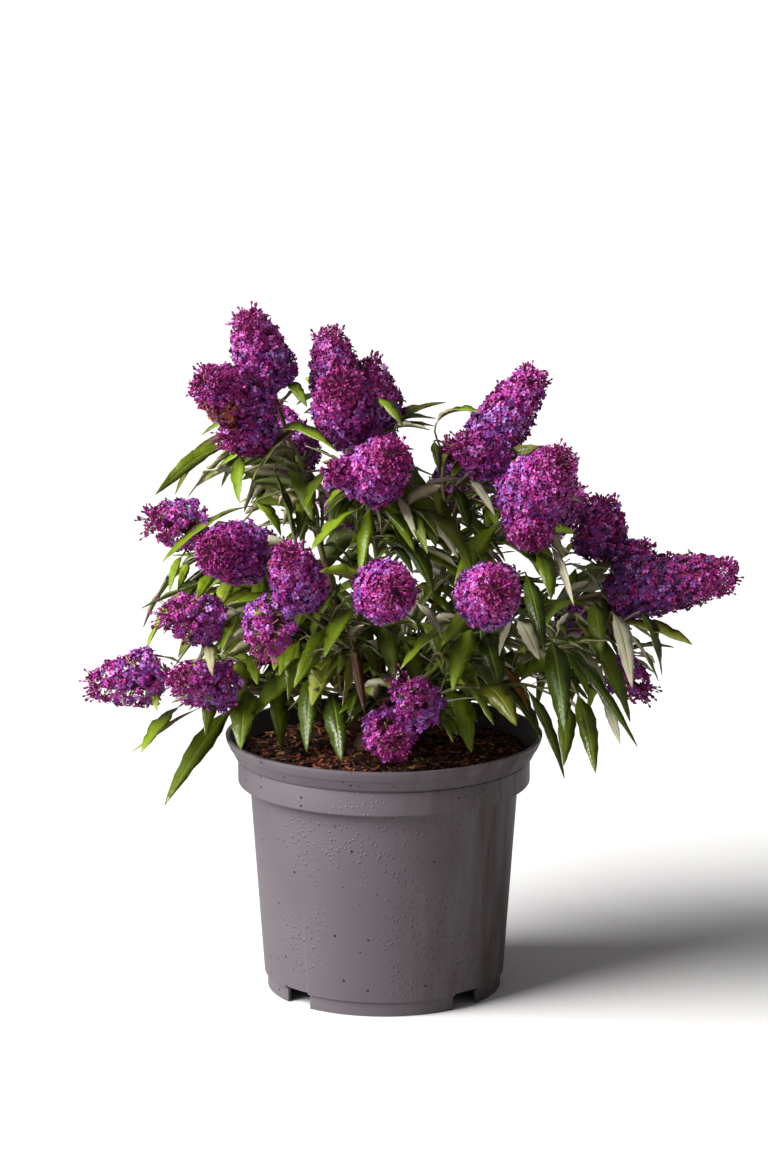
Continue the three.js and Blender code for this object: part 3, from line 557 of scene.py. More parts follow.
# Each mass: the level at which its bough leaves the stock, then its shoots. The first goes on from the
# bough, and the others fork from that one, the given share of the way along.
masses = {
    "left_top": (0.85, [
        headed(0, (272, 388, 15), (243, 306, 0), (66, 45)),
        headed(0.3, (258, 408, -20), (195, 378, -75), (75, 47), dark=0.25),
        headed(0.15, (270, 432, -22), (216, 439, -55), (48, 34)),
        leafy(0.5, (171, 92, 408), (178, 8)),
        leafy(0.2, (150, 62, 372), (150, 30)),
        leafy(0.25, (-150, 62, 366), (-125, 15))]),
    "top": (1, [
        headed(0, (350, 424, -30), (337, 377, -92), (75, 49), dark=0.25),
        headed(0.35, (338, 395, 25), (328, 325, 15), (54, 39)),
        headed(0.5, (385, 425, 35), (367, 357, 35), (54, 35), dark=0.5),
        headed(0.2, (370, 480, -60), (396, 450, -120), (69, 46)),
        headed(0.6, (354, 474, -70), (331, 470, -92), (31, 26)),
        leafy(0.25, (-15, 28, 368), (-20, 45)),
        leafy(0.1, (-60, 42, 335), (-50, 20)),
        leafy(0.3, (-75, 66, 366), (-70, 0))]),
    "right_top": (0.8, [
        headed(0, (481, 452, -5), (538, 371, 5), (76, 42)),
        headed(0.65, (498, 462, -25), (455, 441, -50), (46, 35)),
        headed(0.15, (522, 507, -42), (562, 460, -95), (80, 51)),
        headed(0.3, (529, 516, -50), (534, 541, -85), (39, 39)),
        leafy(0.45, (18, 46, 388), (40, 70), (16, 11))]),
    "right_far": (0.45, [
        headed(0, (608, 592, -5), (738, 573, -25), (100, 47), dark=0.8),
        headed(0.5, (599, 558, 25), (604, 500, 30), (48, 42), dark=0.7),
        headed(0.75, (612, 562, 15), (648, 549, 15), (33, 26), dark=0.7),
        leafy(0.25, (16, 132, 290), (20, 5)),
        leafy(0.75, (-10, 168, 274), (-8, -45))]),
    "left_upper": (0.5, [
        headed(0, (246, 553, -60), (205, 552, -122), (68, 45)),
        headed(0.5, (199, 526, -20), (145, 520, -40), (46, 38), loose=True),
        headed(0.15, (217, 622, -45), (157, 612, -70), (50, 38), loose=True),
        leafy(0.3, (174, 118, 318), (180, 0))]),
    "front": (0.3, [
        headed(0, (379, 592, -100), (400, 590, -158), (60, 45)),
        headed(0.4, (303, 598, -90), (287, 547, -125), (58, 41)),
        headed(0.25, (272, 612, -115), (264, 652, -155), (48, 38), loose=True),
        leafy(0.1, (-104, 92, 268), (-104, 5))]),
    "front_right": (0.35, [
        headed(0, (484, 598, -105), (500, 590, -162), (61, 46)),
        leafy(0.3, (-42, 108, 284), (-40, 5)),
        leafy(0.12, (-66, 100, 268), (-66, 0))]),
    "left_low": (0.15, [
        headed(0, (160, 674, -35), (90, 687, -50), (56, 42), loose=True),
        headed(0.3, (228, 688, -50), (168, 678, -95), (62, 38), loose=True),
        leafy(0.15, (180, 108, 214), (-176, -42)),
        leafy(0.45, (-172, 132, 228), (-170, -15))]),
    "front_low": (0, [
        headed(0, (426, 712, -90), (400, 680, -122), (50, 34), loose=True),
        headed(0.3, (386, 726, -75), (394, 748, -116), (44, 38), loose=True),
        leafy(0.1, (-122, 94, 240), (-125, 0)),
        leafy(0.2, (-50, 98, 240), (-48, 0))]),
    "right_low": (0.1, [
        headed(0, (612, 668, -5), (650, 694, -10), (36, 31), loose=True),
        leafy(0.25, (-22, 142, 264), (-24, -5)),
        leafy(0.1, (-28, 122, 236), (-30, -10)),
        leafy(0.4, (8, 136, 246), (8, -8))]),
    "back_left": (0.4, [
        leafy(0, (140, 118, 300), (115, 0), (62, 46)),
        leafy(0.4, (128, 104, 368), (120, 35), (70, 48)),
        leafy(0.15, (146, 136, 258), (143, -5), (58, 42)),
        leafy(0.3, (165, 122, 292), (168, 0))]),
    "back": (0.6, [
        leafy(0, (100, 128, 326), (98, 15), (70, 48)),
        leafy(0.3, (100, 72, 384), (95, 45), (66, 44)),
        leafy(0.15, (112, 138, 258), (112, 0), (60, 42)),
        leafy(0.1, (84, 108, 240), (84, -5))]),
    "back_right": (0.2, [
        leafy(0, (42, 132, 322), (40, 15), (70, 48)),
        leafy(0.35, (60, 98, 346), (58, 25), (66, 45)),
        leafy(0.15, (60, 140, 264), (64, 0), (62, 44)),
        leafy(0.25, (26, 146, 256), (26, -5), (56, 40))]),
}
massNames = list(masses)


# A bough is a quadratic curve from the stock towards the middle of its shoots' ends, and sags on the way.
def boughCurve(level, planned):
    middle = np.mean([shoot["foot"] for shoot in planned], axis=0)
    outward = direction(math.atan2(middle[1], middle[0]), 0.0)
    height = between([stockFoot + bough["lowest"], stock["top"] - bough["highest"]], level)
    start = np.array([*stock["lean"], height])
    if level < 1:
        start = start + outward * stock["waist"] * bough["rootShare"]
    end = between([start, middle], bough["share"])
    bulge = (start + end) / 2 + outward * bough["bulge"] * (1 - level) - up * bough["sag"]
    return np.array([start, bulge, end])


# A shoot is a cubic curve: straight on for a third of the way, then round to face its flower head's way.
def shootCurve(root, leaving, foot, aim):
    reach = np.linalg.norm(foot - root) * bend["pull"]
    return np.array([root, root + leaving * reach, foot - aim * reach, foot])


def layPlant():
    limbs, shoots = {}, []
    for massNumber, (name, (level, planned)) in enumerate(masses.items()):
        limb = boughCurve(level, planned)
        limbs[name] = limb
        leaving = unit(limb[2] - limb[1])
        main = None
        for shoot in planned:
            fork, foot, aim = shoot["fork"], shoot["foot"], shoot["aim"]
            if fork:
                root = pointAt(main, [fork])[0]
                start = unit(tangentAt(main, [fork])[0] + unit(foot - root) * bend["swing"])
            else:
                root, start = limb[2] + leaving * clearance, leaving
            curve = shootCurve(root, start, foot, aim)
            main = curve if main is None else main
            shoots.append({**shoot, "mass": massNumber, "number": len(shoots) + 1, "curve": curve,
                           "order": 1 if fork else 0})
    return limbs, shoots


limbs, shoots = layPlant()


# Leaves by the plant's rule. Lengths, angles and shares first, then the room that a leaf keeps, then how
# often it is tried again, shorter and turned.
leaf = {
    "spacing": 26, "firstPair": 14, "lastPair": 0.95, "stagger": 3, "longest": 94, "shortest": 52,
    "sizes": (0.82, 1.16), "lastLength": 82, "lastBend": 0.8, "lastYoung": 0.8, "widthShare": 0.235,
    "widths": (0.8, 1.2), "leave": 58, "waver": 18, "roll": 40, "rises": (-25, 55), "hang": 78,
    "bends": (0.2, 0.95), "youngBend": 0.7, "youngShare": 0.5, "outward": 0.5, "widestAt": 0.36,
    "arcSteps": 8, "watched": (0.3, 0.5, 0.75, 1.0), "spineAt": (0.15, 0.4, 0.65, 0.9),
    "shootRoom": 1.8, "roomSteps": 9, "ahead": (0.2, 0.5, 0.8), "margin": 1, "potMargin": 3,
    "boughMargin": 1.5, "headMargin": 0.5, "lowest": 208, "standingMargin": 7, "viewMargin": 6,
    "viewShare": 0.9,
    "tries": 9, "shrink": 0.055, "turn": 30, "reaches": (50, 120), "shares": (0.82, 0.5),
}
inBetween = {**leaf, "longest": 74, "shortest": 46, "sizes": (0.75, 1.12), "roll": 50, "shares": (0.42, 0.0),
             "reaches": (60, 140)}
basal = {**leaf, "spacing": 22, "firstPair": 12, "longest": 78, "shortest": 52, "lastLength": 66, "roll": 45,
         "bends": (0.25, 0.95), "twigShares": (0.4, 0.66, 0.92), "length": (22, 42), "droop": 0.25,
         "forward": 0.5, "aside": (0.5, 1.0), "climb": (-0.2, 0.6), "lowRise": (0.1, 0.7), "lowRoot": 0.7,
         "low": ("left_low", "right_low", "back_left", "back", "back_right"),
         "lowAside": 22, "lowHeight": (22, 38), "lowLength": (34, 56)}
sideTwig = {**leaf, "spacing": 8, "firstPair": 5, "lastPair": 0.92, "stagger": 1, "longest": 44,
            "shortest": 26, "sizes": (0.6, 1.15), "lastLength": 34, "widthShare": 0.24, "hang": 55,
            "leave": 46, "bends": (0.2, 0.8), "length": (9, 18), "share": 0.14, "steepest": 1.2,
            "steeper": 0.35, "climb": 0.6}


def either(limit, share):
    return np.radians(limit) * (2 * share - 1)


# The leaf that goes straight on from the tip of a shoot without a flower head.
def lastLeaf(shoot, rule):
    heading, rise = math.atan2(shoot["aim"][1], shoot["aim"][0]), math.asin(shoot["aim"][2])
    size = rule["lastLength"]
    one = {"heading": heading, "rise": rise, "bend": (rise + math.radians(rule["hang"])) * rule["lastBend"],
           "roll": 0.0, "length": size, "width": size * rule["widthShare"], "young": rule["lastYoung"],
           "seed": noise(shoot["number"], 5, 8), "free": shoot["order"] == 3, "tone": -1}
    return {**{k: np.array([float(v)]) for k, v in one.items()}, "root": shoot["foot"][None],
            "mass": np.array([shoot["mass"]])}


# Pairs of leaves stand on opposite sides of a shoot, each pair a quarter turn from the last. A leaf leaves
# at a steep angle, turned outwards, and its length falls from longest to shortest along the shoot. A tone
# of -1 is picked by luck later on.
def leavesAlong(shoot, rule, offset=0.0, salt=0):
    curve = shoot["curve"]
    length = evenly(curve, 0)[1]
    pairs = max(0, math.floor((length - rule["firstPair"]) / rule["spacing"]) + 2)
    pair, side = np.divmod(np.arange(2 * pairs), 2)
    share = np.minimum(rule["lastPair"], (rule["firstPair"] + (pair + offset) * rule["spacing"]) / length)
    along = tangentAt(curve, share)
    normals = carriedNormals(tangentAt(curve, np.linspace(0, 1, bend["steps"] + 1)))
    u = normals[np.floor(share * bend["steps"] + 0.5).astype(int)]
    u = unit(u - (u * along).sum(-1, keepdims=True) * along)
    v = np.cross(along, u)
    young = share ** 2 * (1 if shoot["head"] else rule["youngShare"])
    luck = lambda k: noise(shoot["number"] + salt, pair * 2 + side, k)
    root = pointAt(curve, share) + along * ((side - 0.5) * rule["stagger"])[:, None]
    turn = np.pi * (side + pair / 2 + 0.25 + offset / 2) + either(rule["waver"], luck(1))
    leave = np.radians(rule["leave"]) + either(rule["waver"], luck(2))
    start = along * np.cos(leave)[:, None] + u * (np.sin(leave) * np.cos(turn))[:, None]
    start = start + v * (np.sin(leave) * np.sin(turn))[:, None]
    flat = root[:, :2] / np.linalg.norm(root[:, :2], axis=1, keepdims=True) * rule["outward"]
    rise = np.clip(np.arcsin(np.clip(start[:, 2], -1, 1)), *np.radians(rule["rises"]))
    size = between([rule["longest"], rule["shortest"]], young) * between(rule["sizes"], luck(3))
    bends = (rise + np.radians(rule["hang"])) * between(rule["bends"], luck(4))
    return {
        "root": root, "heading": np.arctan2(start[:, 1] + flat[:, 1], start[:, 0] + flat[:, 0]), "rise": rise,
        "bend": bends * between([1, rule["youngBend"]], young), "roll": either(rule["roll"], luck(5)),
        "length": size, "width": size * rule["widthShare"] * between(rule["widths"], luck(6)),
        "young": young, "seed": luck(7), "mass": np.full(2 * pairs, shoot["mass"]),
        "free": np.full(2 * pairs, float(shoot["order"] == 3)), "tone": np.full(2 * pairs, -1.0),
    }


def joined(sets):
    return {k: np.concatenate([s[k] for s in sets]) for k in sets[0]}


def picked(leaves, which):
    return {k: v[which] for k, v in leaves.items()}


# Leaves are kept by luck, with a share that falls from the plant's axis towards its edge.
def thinned(found, rule, salt):
    reach = np.hypot(found["root"][:, 0], found["root"][:, 1])
    share = np.interp(reach, rule["reaches"], rule["shares"])
    return picked(found, noise(found["seed"] * salt, 21) < share)


# A leaf's slope: from its rise down by its bend, fastest near its root.
def leafSlope(rise, bendBy, s):
    return rise - bendBy * (1 - (1 - s) ** 2)


def leafPoint(l, s):
    point = l["root"].copy()
    for i in range(leaf["arcSteps"]):
        slope = leafSlope(l["rise"], l["bend"], s * (i + 0.5) / leaf["arcSteps"])
        point += direction(l["heading"], slope) * (s * l["length"] / leaf["arcSteps"])[:, None]
    return point


# The share of its width that a flower head has at each share of its length: it swells from a foot, min(1,
# foot + swell t), and falls off as 1 - fall t^late, both rounded by a power.
spindle = {"foot": 0.16, "swell": 6, "fall": 0.9, "late": 2.6, "round": 0.6}


def headProfile(t):
    h = spindle
    swelling = np.minimum(1, h["foot"] + h["swell"] * t) ** h["round"]
    return swelling * np.maximum(0, 1 - h["fall"] * t ** h["late"]) ** h["round"]


# What each mass fills, as balls along its shoots and last leaves and in its flower heads.
def roomBalls():
    centres, radii, owners, shown = [], [], [], []
    ahead, room = np.array(leaf["ahead"]), leaf["shootRoom"]
    for shoot in shoots:
        along = pointAt(shoot["curve"], np.linspace(0, 1, leaf["roomSteps"]))
        if shoot["head"]:
            length, width = shoot["head"]
            tip = shoot["foot"] + shoot["aim"] * (ahead * length)[:, None]
            tipRadii = width / 2 * headProfile(ahead)
        else:
            last = lastLeaf(shoot, leaf)
            tip, tipRadii = np.vstack([leafPoint(last, s) for s in ahead]), np.full(len(ahead), room)
        centres += [along, tip]
        radii += [np.full(len(along), room), tipRadii]
        owners += [np.full(len(along) + len(tip), shoot["mass"])]
        shown += [np.full(len(along), False), np.full(len(tip), shoot["shown"])]
    return np.vstack(centres), np.concatenate(radii), np.concatenate(owners), np.concatenate(shown)


roomCentres, roomRadii, roomOwners, roomShown = roomBalls()
shownCentres, shownRadii = roomCentres[roomShown], roomRadii[roomShown]
limbCentres = np.vstack([pointAt(limb, np.linspace(0, 1, 11)) for limb in limbs.values()])


def gaps(points, centres, radii):
    return np.linalg.norm(points[..., None, :] - centres, axis=-1) - radii


# How far points lie beside the sight lines from other points to the eye. A point that lies behind such a
# point, seen from the eye, doesn't count.
def besideSight(points, behind):
    toEye = unit(eye - behind)
    offset = points[..., None, :] - behind
    nearer = (offset * toEye).sum(-1)
    aside = np.linalg.norm(offset - toEye * nearer[..., None], axis=-1)
    return np.where(nearer > 0, aside, np.inf)


def clearOfPot(points):
    reach, z, gap = np.hypot(points[..., 0], points[..., 1]), points[..., 2], leaf["potMargin"]
    above = z > pot["height"] + gap
    outside = (reach > pot["rimRadius"] + gap) & (z > gap)
    inside = (reach < pot["bandRadius"] - pot["wall"] - gap) & (z > stockFoot + gap)
    return above | outside | inside


# A leaf keeps to its mass's own space, and clear of the boughs, the flower heads and the pot.
def leafFits(l):
    spine = np.stack([leafPoint(l, s) for s in leaf["watched"]], 1)
    slope = leafSlope(l["rise"], l["bend"], leaf["widestAt"])
    normal, level = direction(l["heading"], slope + np.pi / 2), direction(l["heading"] + np.pi / 2, 0.0)
    roll = l["roll"][:, None]
    across = (level * np.cos(roll) + normal * np.sin(roll)) * l["width"][:, None] / 2
    middle = leafPoint(l, leaf["widestAt"])
    body = np.concatenate([spine, np.stack([middle + across, middle - across], 1)], 1)
    fits = clearOfPot(body).all(1) & (spine[:, -1, 2] > leaf["lowest"])
    fits &= (gaps(spine[:, 1:], standingSpines, 0).min(-1) > leaf["standingMargin"]).all(1)
    fits &= (besideSight(body, standingSpines).min(-1) > leaf["viewMargin"]).all(1)
    fits &= ((besideSight(body, shownCentres) - shownRadii * leaf["viewShare"]).min(-1) > 0).all(1)
    fits &= (gaps(body, limbCentres, bough["rootRadius"]).min(-1) > leaf["boughMargin"]).all(1)
    outer = gaps(spine[:, 1:], roomCentres, roomRadii)
    heads = roomRadii > leaf["shootRoom"]
    fits &= (outer[..., heads].min(-1) > leaf["headMargin"]).all(1)
    own = roomOwners == l["mass"][:, None, None]
    nearOwn = np.where(own, outer, np.inf).min(-1) + leaf["margin"]
    return fits & ((np.where(own, np.inf, outer).min(-1) > nearOwn).all(1) | (l["free"] > 0))


# A leaf that doesn't fit is tried again shorter and turned, left and right in turn, and in the end left out.
def settled(leaves):
    kept = []
    for attempt in range(leaf["tries"]):
        shrink = 1 - leaf["shrink"] * attempt
        turn = (1 if attempt % 2 else -1) * math.ceil(attempt / 2) * math.radians(leaf["turn"])
        trial = {**leaves, "heading": leaves["heading"] + turn, "length": leaves["length"] * shrink,
                 "width": leaves["width"] * shrink}
        fits = leafFits(trial)
        kept.append(picked(trial, fits))
        leaves = picked(leaves, ~fits)
    return joined(kept)


# A twig or stalk without a flower head. Its order picks its thickness, and its number its leaves' luck.
def newTwig(mass, number, order, root, leaving, foot, aim):
    return {"mass": mass, "number": number, "order": order, "head": None, "aim": aim, "foot": foot,
            "curve": shootCurve(root, leaving, foot, aim)}


# Short side twigs stand in the axils of some of the leaves, and carry small leaves of their own.
def laySideTwigs():
    found = []
    for shoot in shoots:
        axils = leavesAlong(shoot, leaf)
        rows = np.arange(len(axils["heading"]))
        for row in rows[noise(shoot["number"], rows, 11) < sideTwig["share"]]:
            length = between(sideTwig["length"], noise(shoot["number"], row, 12))
            rise = min(sideTwig["steepest"], axils["rise"][row] + sideTwig["steeper"])
            start, root = direction(axils["heading"][row], rise), axils["root"][row]
            aim = unit(start + up * sideTwig["climb"])
            foot = root + unit(start + aim) * length
            found.append(newTwig(shoot["mass"], 1000 + len(found), 2, root, start, foot, aim))
    return found


# Basal twigs fill the middle of the plant: some leave the boughs, to left and right in turn, and low ones
# leave the stock just beside each low bough.
def layBasalTwigs():
    found = []
    b = basal

    def add(mass, root, start, length):
        aim = unit(start - up * b["droop"])
        foot = root + unit(start + aim) * length
        found.append(newTwig(massNames.index(mass), 2000 + len(found), 3, root, start, foot, aim))

    for name, limb in limbs.items():
        for k, share in enumerate(b["twigShares"]):
            luck = lambda i: noise(len(found) + 3, i, 31)
            along = tangentAt(limb, [share])[0]
            side = unit(np.cross(along, up)) * (1 if k % 2 else -1)
            start = along * b["forward"] + side * between(b["aside"], luck(1))
            start = unit(start + up * between(b["climb"], luck(2)))
            add(name, pointAt(limb, [share])[0], start, between(b["length"], luck(3)))
    for name in b["low"]:
        for turn in (-1, 1):
            luck = lambda i: noise(len(found) + 5, i, 37)
            away = limbs[name][2] - limbs[name][0]
            heading = math.atan2(away[1], away[0]) + math.radians(b["lowAside"]) * turn
            root = np.array([*stock["lean"], stockFoot + between(b["lowHeight"], luck(1))])
            root = root + direction(heading, 0.0) * stock["waist"] * b["lowRoot"]
            start = direction(heading, between(b["lowRise"], luck(2)))
            add(name, root, start, between(b["lowLength"], luck(3)))
    return found


# The leaves' upper sides by tone, as (colour, roughness), and their undersides. Deep, mid and bright are
# partly the leaves' own greens and partly painted shade and light: shaded and lit copies of one green.
tops = {
    "deep": (colour(64, 80, 9), 0.34), "mid": (colour(92, 108, 12), 0.34),
    "bright": (colour(116, 138, 20), 0.36), "young": (colour(146, 162, 42), 0.45),
    "olive": (colour(100, 102, 22), 0.40), "yellow": (colour(118, 122, 26), 0.5),
    "rust": (colour(164, 100, 28), 0.6), "dead": (colour(84, 36, 20), 0.6),
}
unders = {"felt": colour(162, 156, 118), "pale": colour(200, 193, 164), "green": colour(104, 114, 58)}
leafTones = [*tops, "midrib", *unders]

# The largest leaves, by mass: (across, down, depth) of the root and (across, down) of the tip in the view,
# the length, then (bend, width, roll) and the tone. The tone follows how lit or shaded each leaf shows, so
# deep and bright are partly painted shade and light.
largeLeaves = {
    "left_top": [
        ((274, 470, -13), (299, 562), 72, (20, 15, -35), "deep"),
        ((330, 470, -20), (304, 510), 52, (30, 13, 20), "mid"),
        ((240, 457, -30), (239, 502), 48, (40, 13, 20), "bright"),
        ((232, 446, -30), (155, 495), 75, (40, 12, -20), "mid"),
        ((266, 442, -25), (337, 451), 66, (80, 16, 10), "bright"),
        ((285, 380, 12), (307, 407), 36, (30, 10, 0), "bright"),
        ((256, 503, -8), (281, 536), 42, (40, 12, 0), "bright")],
    "top": [
        ((361, 508, -45), (311, 550), 58, (30, 17, 20), "bright"),
        ((371, 505, -48), (360, 578), 58, (35, 13, 0), "bright"),
        ((375, 397, 20), (403, 427), 44, (40, 12, 0), "bright"),
        ((392, 430, 30), (430, 430), 42, (30, 12, 0), "mid"),
        ((395, 495, -54), (417, 540), 42, (40, 7, 20), "pale"),
        ((300, 430, -20), (262, 466), 50, (40, 12, 0), "mid")],
    "right_top": [
        ((499, 526, -31), (454, 588), 64, (35, 15, -20), "bright"),
        ((452, 483, -12), (471, 537), 48, (25, 13, 0), "deep"),
        ((455, 572, -20), (421, 608), 56, (25, 20, 10), "mid"),
        ((541, 552, -52), (551, 600), 52, (40, 15, 0), "mid"),
        ((550, 545, -52), (574, 606), 54, (35, 7, 30), "pale"),
        ((468, 480, -11), (495, 516), 44, (40, 7, 20), "pale"),
        ((434, 441, -20), (439, 474), 34, (30, 9, 0), "deep"),
        ((436, 424, 10), (480, 412), 48, (50, 12, -10), "bright"),
        ((470, 545, -40), (500, 590), 50, (40, 13, -10), "mid")],
    "right_far": [
        ((593, 602, -14), (601, 661), 56, (55, 15, 0), "mid"),
        ((612, 612, -31), (632, 688), 66, (50, 13, -10), "pale"),
        ((640, 612, -33), (662, 675), 60, (60, 13, -10), "deep"),
        ((577, 622, -16), (630, 722), 90, (35, 20, 0), "mid"),
        ((612, 571, -25), (576, 569), 36, (30, 9, 0), "bright")],
    "left_upper": [
        ((252, 506, -15), (162, 562), 84, (35, 15, 20), "bright"),
        ((250, 654, -35), (257, 685), 34, (30, 11, 0), "bright"),
        ((240, 612, -41), (221, 653), 44, (30, 10, 0), "mid"),
        ((231, 580, -20), (220, 609), 36, (30, 13, 0), "young"),
        ((209, 643, -50), (212, 676), 38, (40, 9, 0), "felt"),
        ((182, 556, -25), (169, 593), 40, (40, 7, 0), "bright"),
        ((190, 563, 8), (177, 592), 34, (30, 7, 0), "bright"),
        ((214, 575, -40), (196, 600), 34, (30, 10, 0), "bright")],
    "front": [
        ((357, 605, -80), (324, 657), 60, (35, 17, 20), "bright"),
        ((335, 592, -21), (312, 640), 56, (35, 18, 10), "mid"),
        ((350, 636, -50), (364, 712), 66, (25, 9, 40), "dead"),
        ((381, 622, -48), (395, 681), 56, (30, 14, 0), "mid"),
        ((416, 603, -75), (442, 638), 44, (35, 8, 20), "pale"),
        ((331, 693, -40), (341, 762), 62, (50, 19, -5), "deep"),
        ((300, 640, -40), (288, 700), 54, (35, 15, 0), "mid"),
        ((404, 640, -35), (420, 700), 54, (35, 16, 0), "mid")],
    "front_right": [
        ((460, 622, -75), (400, 669), 68, (30, 18, 15), "bright"),
        ((473, 628, -67), (452, 691), 60, (45, 16, -10), "bright"),
        ((442, 660, -95), (419, 679), 30, (-40, 8, 20), "young"),
        ((525, 572, -50), (544, 652), 74, (30, 14, -10), "deep"),
        ((512, 620, -70), (499, 656), 34, (30, 7, 0), "pale"),
        ((517, 620, -66), (539, 660), 44, (35, 13, 0), "pale"),
        ((483, 634, -45), (500, 692), 54, (35, 18, 0), "deep"),
        ((464, 657, -40), (492, 692), 44, (35, 17, 0), "mid"),
        ((500, 600, -60), (480, 640), 44, (30, 13, 0), "mid")],
    "left_low": [
        ((235, 706, -4), (164, 805), 100, (20, 16, -45), "mid"),
        ((180, 706, -22), (141, 752), 60, (25, 17, 20), "bright"),
        ((199, 708, -22), (127, 755), 70, (10, 5, 0), "pale"),
        ((153, 684, -38), (157, 711), 28, (30, 8, 0), "young"),
        ((242, 660, -25), (237, 702), 44, (40, 14, 0), "young"),
        ((248, 690, -37), (240, 750), 60, (45, 21, -10), "mid"),
        ((270, 672, -21), (281, 752), 64, (45, 18, -10), "mid"),
        ((312, 674, -35), (306, 752), 66, (45, 16, -10), "deep"),
        ((215, 690, -50), (205, 735), 44, (40, 12, 0), "mid")],
    "front_low": [
        ((334, 658, -42), (311, 706), 54, (30, 18, -25), "yellow"),
        ((478, 688, -79), (516, 726), 52, (75, 20, 0), "olive")],
    "right_low": [
        ((551, 640, -49), (564, 735), 84, (50, 19, 0), "deep"),
        ((561, 648, -54), (637, 747), 96, (25, 10, 20), "deep"),
        ((577, 693, -61), (595, 773), 70, (40, 15, 0), "mid"),
        ((569, 705, -61), (563, 766), 60, (40, 14, 0), "mid"),
        ((526, 688, -58), (564, 779), 78, (30, 10, 10), "deep"),
        ((502, 666, -20), (528, 710), 50, (30, 9, 0), "rust"),
        ((504, 686, -38), (541, 740), 56, (30, 14, 0), "deep"),
        ((446, 684, -32), (471, 753), 60, (45, 19, 0), "bright"),
        ((604, 700, -60), (620, 745), 46, (30, 8, 20), "pale")],
}


# A leaf from root to tip: an arc of the given bend, level at its root and one long, is turned and scaled
# until its chord is the one asked for.
def leafBetween(mass, number, root, tip, shape, tone):
    bendBy, width, roll = shape
    chord = tip - root
    arc = {"root": np.zeros((1, 3)), "heading": np.zeros(1), "rise": np.zeros(1), "length": np.ones(1),
           "bend": np.radians([bendBy])}
    end = leafPoint(arc, 1.0)[0]
    rise = math.atan2(chord[2], math.hypot(chord[0], chord[1])) - math.atan2(end[2], end[0])
    one = {"heading": math.atan2(chord[1], chord[0]), "rise": rise, "bend": arc["bend"][0],
           "roll": math.radians(roll), "length": np.linalg.norm(chord) / np.linalg.norm(end), "width": width,
           "young": 0.3, "seed": 0.5 + number / 4000, "free": 1.0, "mass": mass,
           "tone": leafTones.index(tone)}
    return {**{k: np.array([v]) for k, v in one.items()}, "root": root[None]}


# Each of the largest leaves stands on a stalk that leaves the nearest shoot or basal twig of its mass,
# unless it stands close by.
def layLargeLeaves(closeBy=3):
    found, stalks = [], []
    for name, rows in largeLeaves.items():
        mass = massNames.index(name)
        own = [s["curve"] for s in shoots + basalTwigs if s["mass"] == mass]
        near = np.vstack([pointAt(curve, np.linspace(0.1, 1, 19)) for curve in own])
        for place, end, length, shape, tone in rows:
            root = seen(*place)
            one = leafBetween(mass, len(found), root, seenFrom(root, *end, length), shape, tone)
            found.append(one)
            foot = one["root"][0]
            start = near[np.argmin(np.linalg.norm(near - foot, axis=1))]
            if np.linalg.norm(foot - start) > closeBy:
                aim = direction(one["heading"], one["rise"])[0]
                stalks.append(newTwig(mass, 3000 + len(found), 2, start, unit(foot - start), foot, aim))
    return joined(found), stalks


sideTwigs = laySideTwigs()
basalTwigs = layBasalTwigs()
standing, stalks = layLargeLeaves()
standingSpines = np.vstack([leafPoint(standing, s) for s in leaf["spineAt"]])
leafSets = [thinned(leavesAlong(s, leaf), leaf, 53) for s in shoots]
leafSets += [thinned(leavesAlong(s, inBetween, 0.5, 300), inBetween, 77) for s in shoots]
leafSets += [leavesAlong(s, basal) for s in basalTwigs] + [lastLeaf(s, basal) for s in basalTwigs]
leafSets += [lastLeaf(s, leaf) for s in shoots if not s["head"]]
leafSets += [leavesAlong(s, sideTwig) for s in sideTwigs] + [lastLeaf(s, sideTwig) for s in sideTwigs]
leaves = joined([settled(joined(leafSets)), standing])
tried = sum(len(s["length"]) for s in leafSets) + len(standing["length"])
print("leaves laid out:", len(leaves["length"]), "of", tried)


# Shoots have many rings and twigs few, and the radii at root and tip go by order: main shoot, fork, side
# twig and basal twig.
stems = {"shoot": (14, 7), "twig": (5, 5), "radii": ((2.5, 1.5), (1.55, 1.15), (0.9, 0.7), (1.5, 0.9)),
         "green": colour(132, 128, 84), "tan": colour(120, 96, 66)}
bark = {"sides": 22, "rings": 30, "ridges": 3, "wander": 1.4, "ridge": 0.12, "ripple": 0.045, "shrink": 0.92,
        "run": 3, "seed": 1.7, "stockRun": 2, "stockSeed": 0.6, "stockShrink": 0.94, "flutes": 5,
        "flute": 0.07, "colour": colour(92, 66, 44)}


def makeStems():
    looks = [makeFinish("young stem", stems["green"], 0.75, drift=0.25, driftScale=60, grain=0.3),
             makeFinish("older stem", stems["tan"], 0.8, drift=0.3, driftScale=60, grain=0.4)]
    groups = ((shoots, stems["shoot"]), (sideTwigs + basalTwigs + stalks, stems["twig"]))
    for massNumber, name in enumerate(massNames):
        points, faceSets, start = [], [], 0
        for group, (rings, sides) in groups:
            own = [s for s in group if s["mass"] == massNumber]
            if not own:
                continue
            ends = np.array([stems["radii"][s["order"]] for s in own])
            radii = between([ends[:, :1], ends[:, 1:]], np.linspace(0, 1, rings)[None])
            points.append(tubePoints(np.array([s["curve"] for s in own]), radii, sides).reshape(-1, 3))
            quads, caps = tubeFaces(len(own), rings, sides)
            tone = np.repeat([int(s["order"] == 0) for s in own], (rings - 1) * sides)
            faceSets += [(quads + start, tone, True), (caps + start, 0, True)]
            start += len(points[-1])
        makePiece(f"shoots_{name}", np.vstack(points), faceSets, looks, [f"foliage_{name}"])


# Bark: the radius swells in ridges that wander round the limb, |sin(k a + wander)|, and by a finer ripple.
def barkRelief(a, s, seed):
    ridge = np.abs(np.sin(bark["ridges"] * a + bark["wander"] * np.sin(5 * s + seed) + seed))
    fine = np.sin(9 * a - 17 * s + 2 * seed) * np.sin(23 * s + 4 * a + seed)
    return 1 + bark["ridge"] * ridge + bark["ripple"] * fine


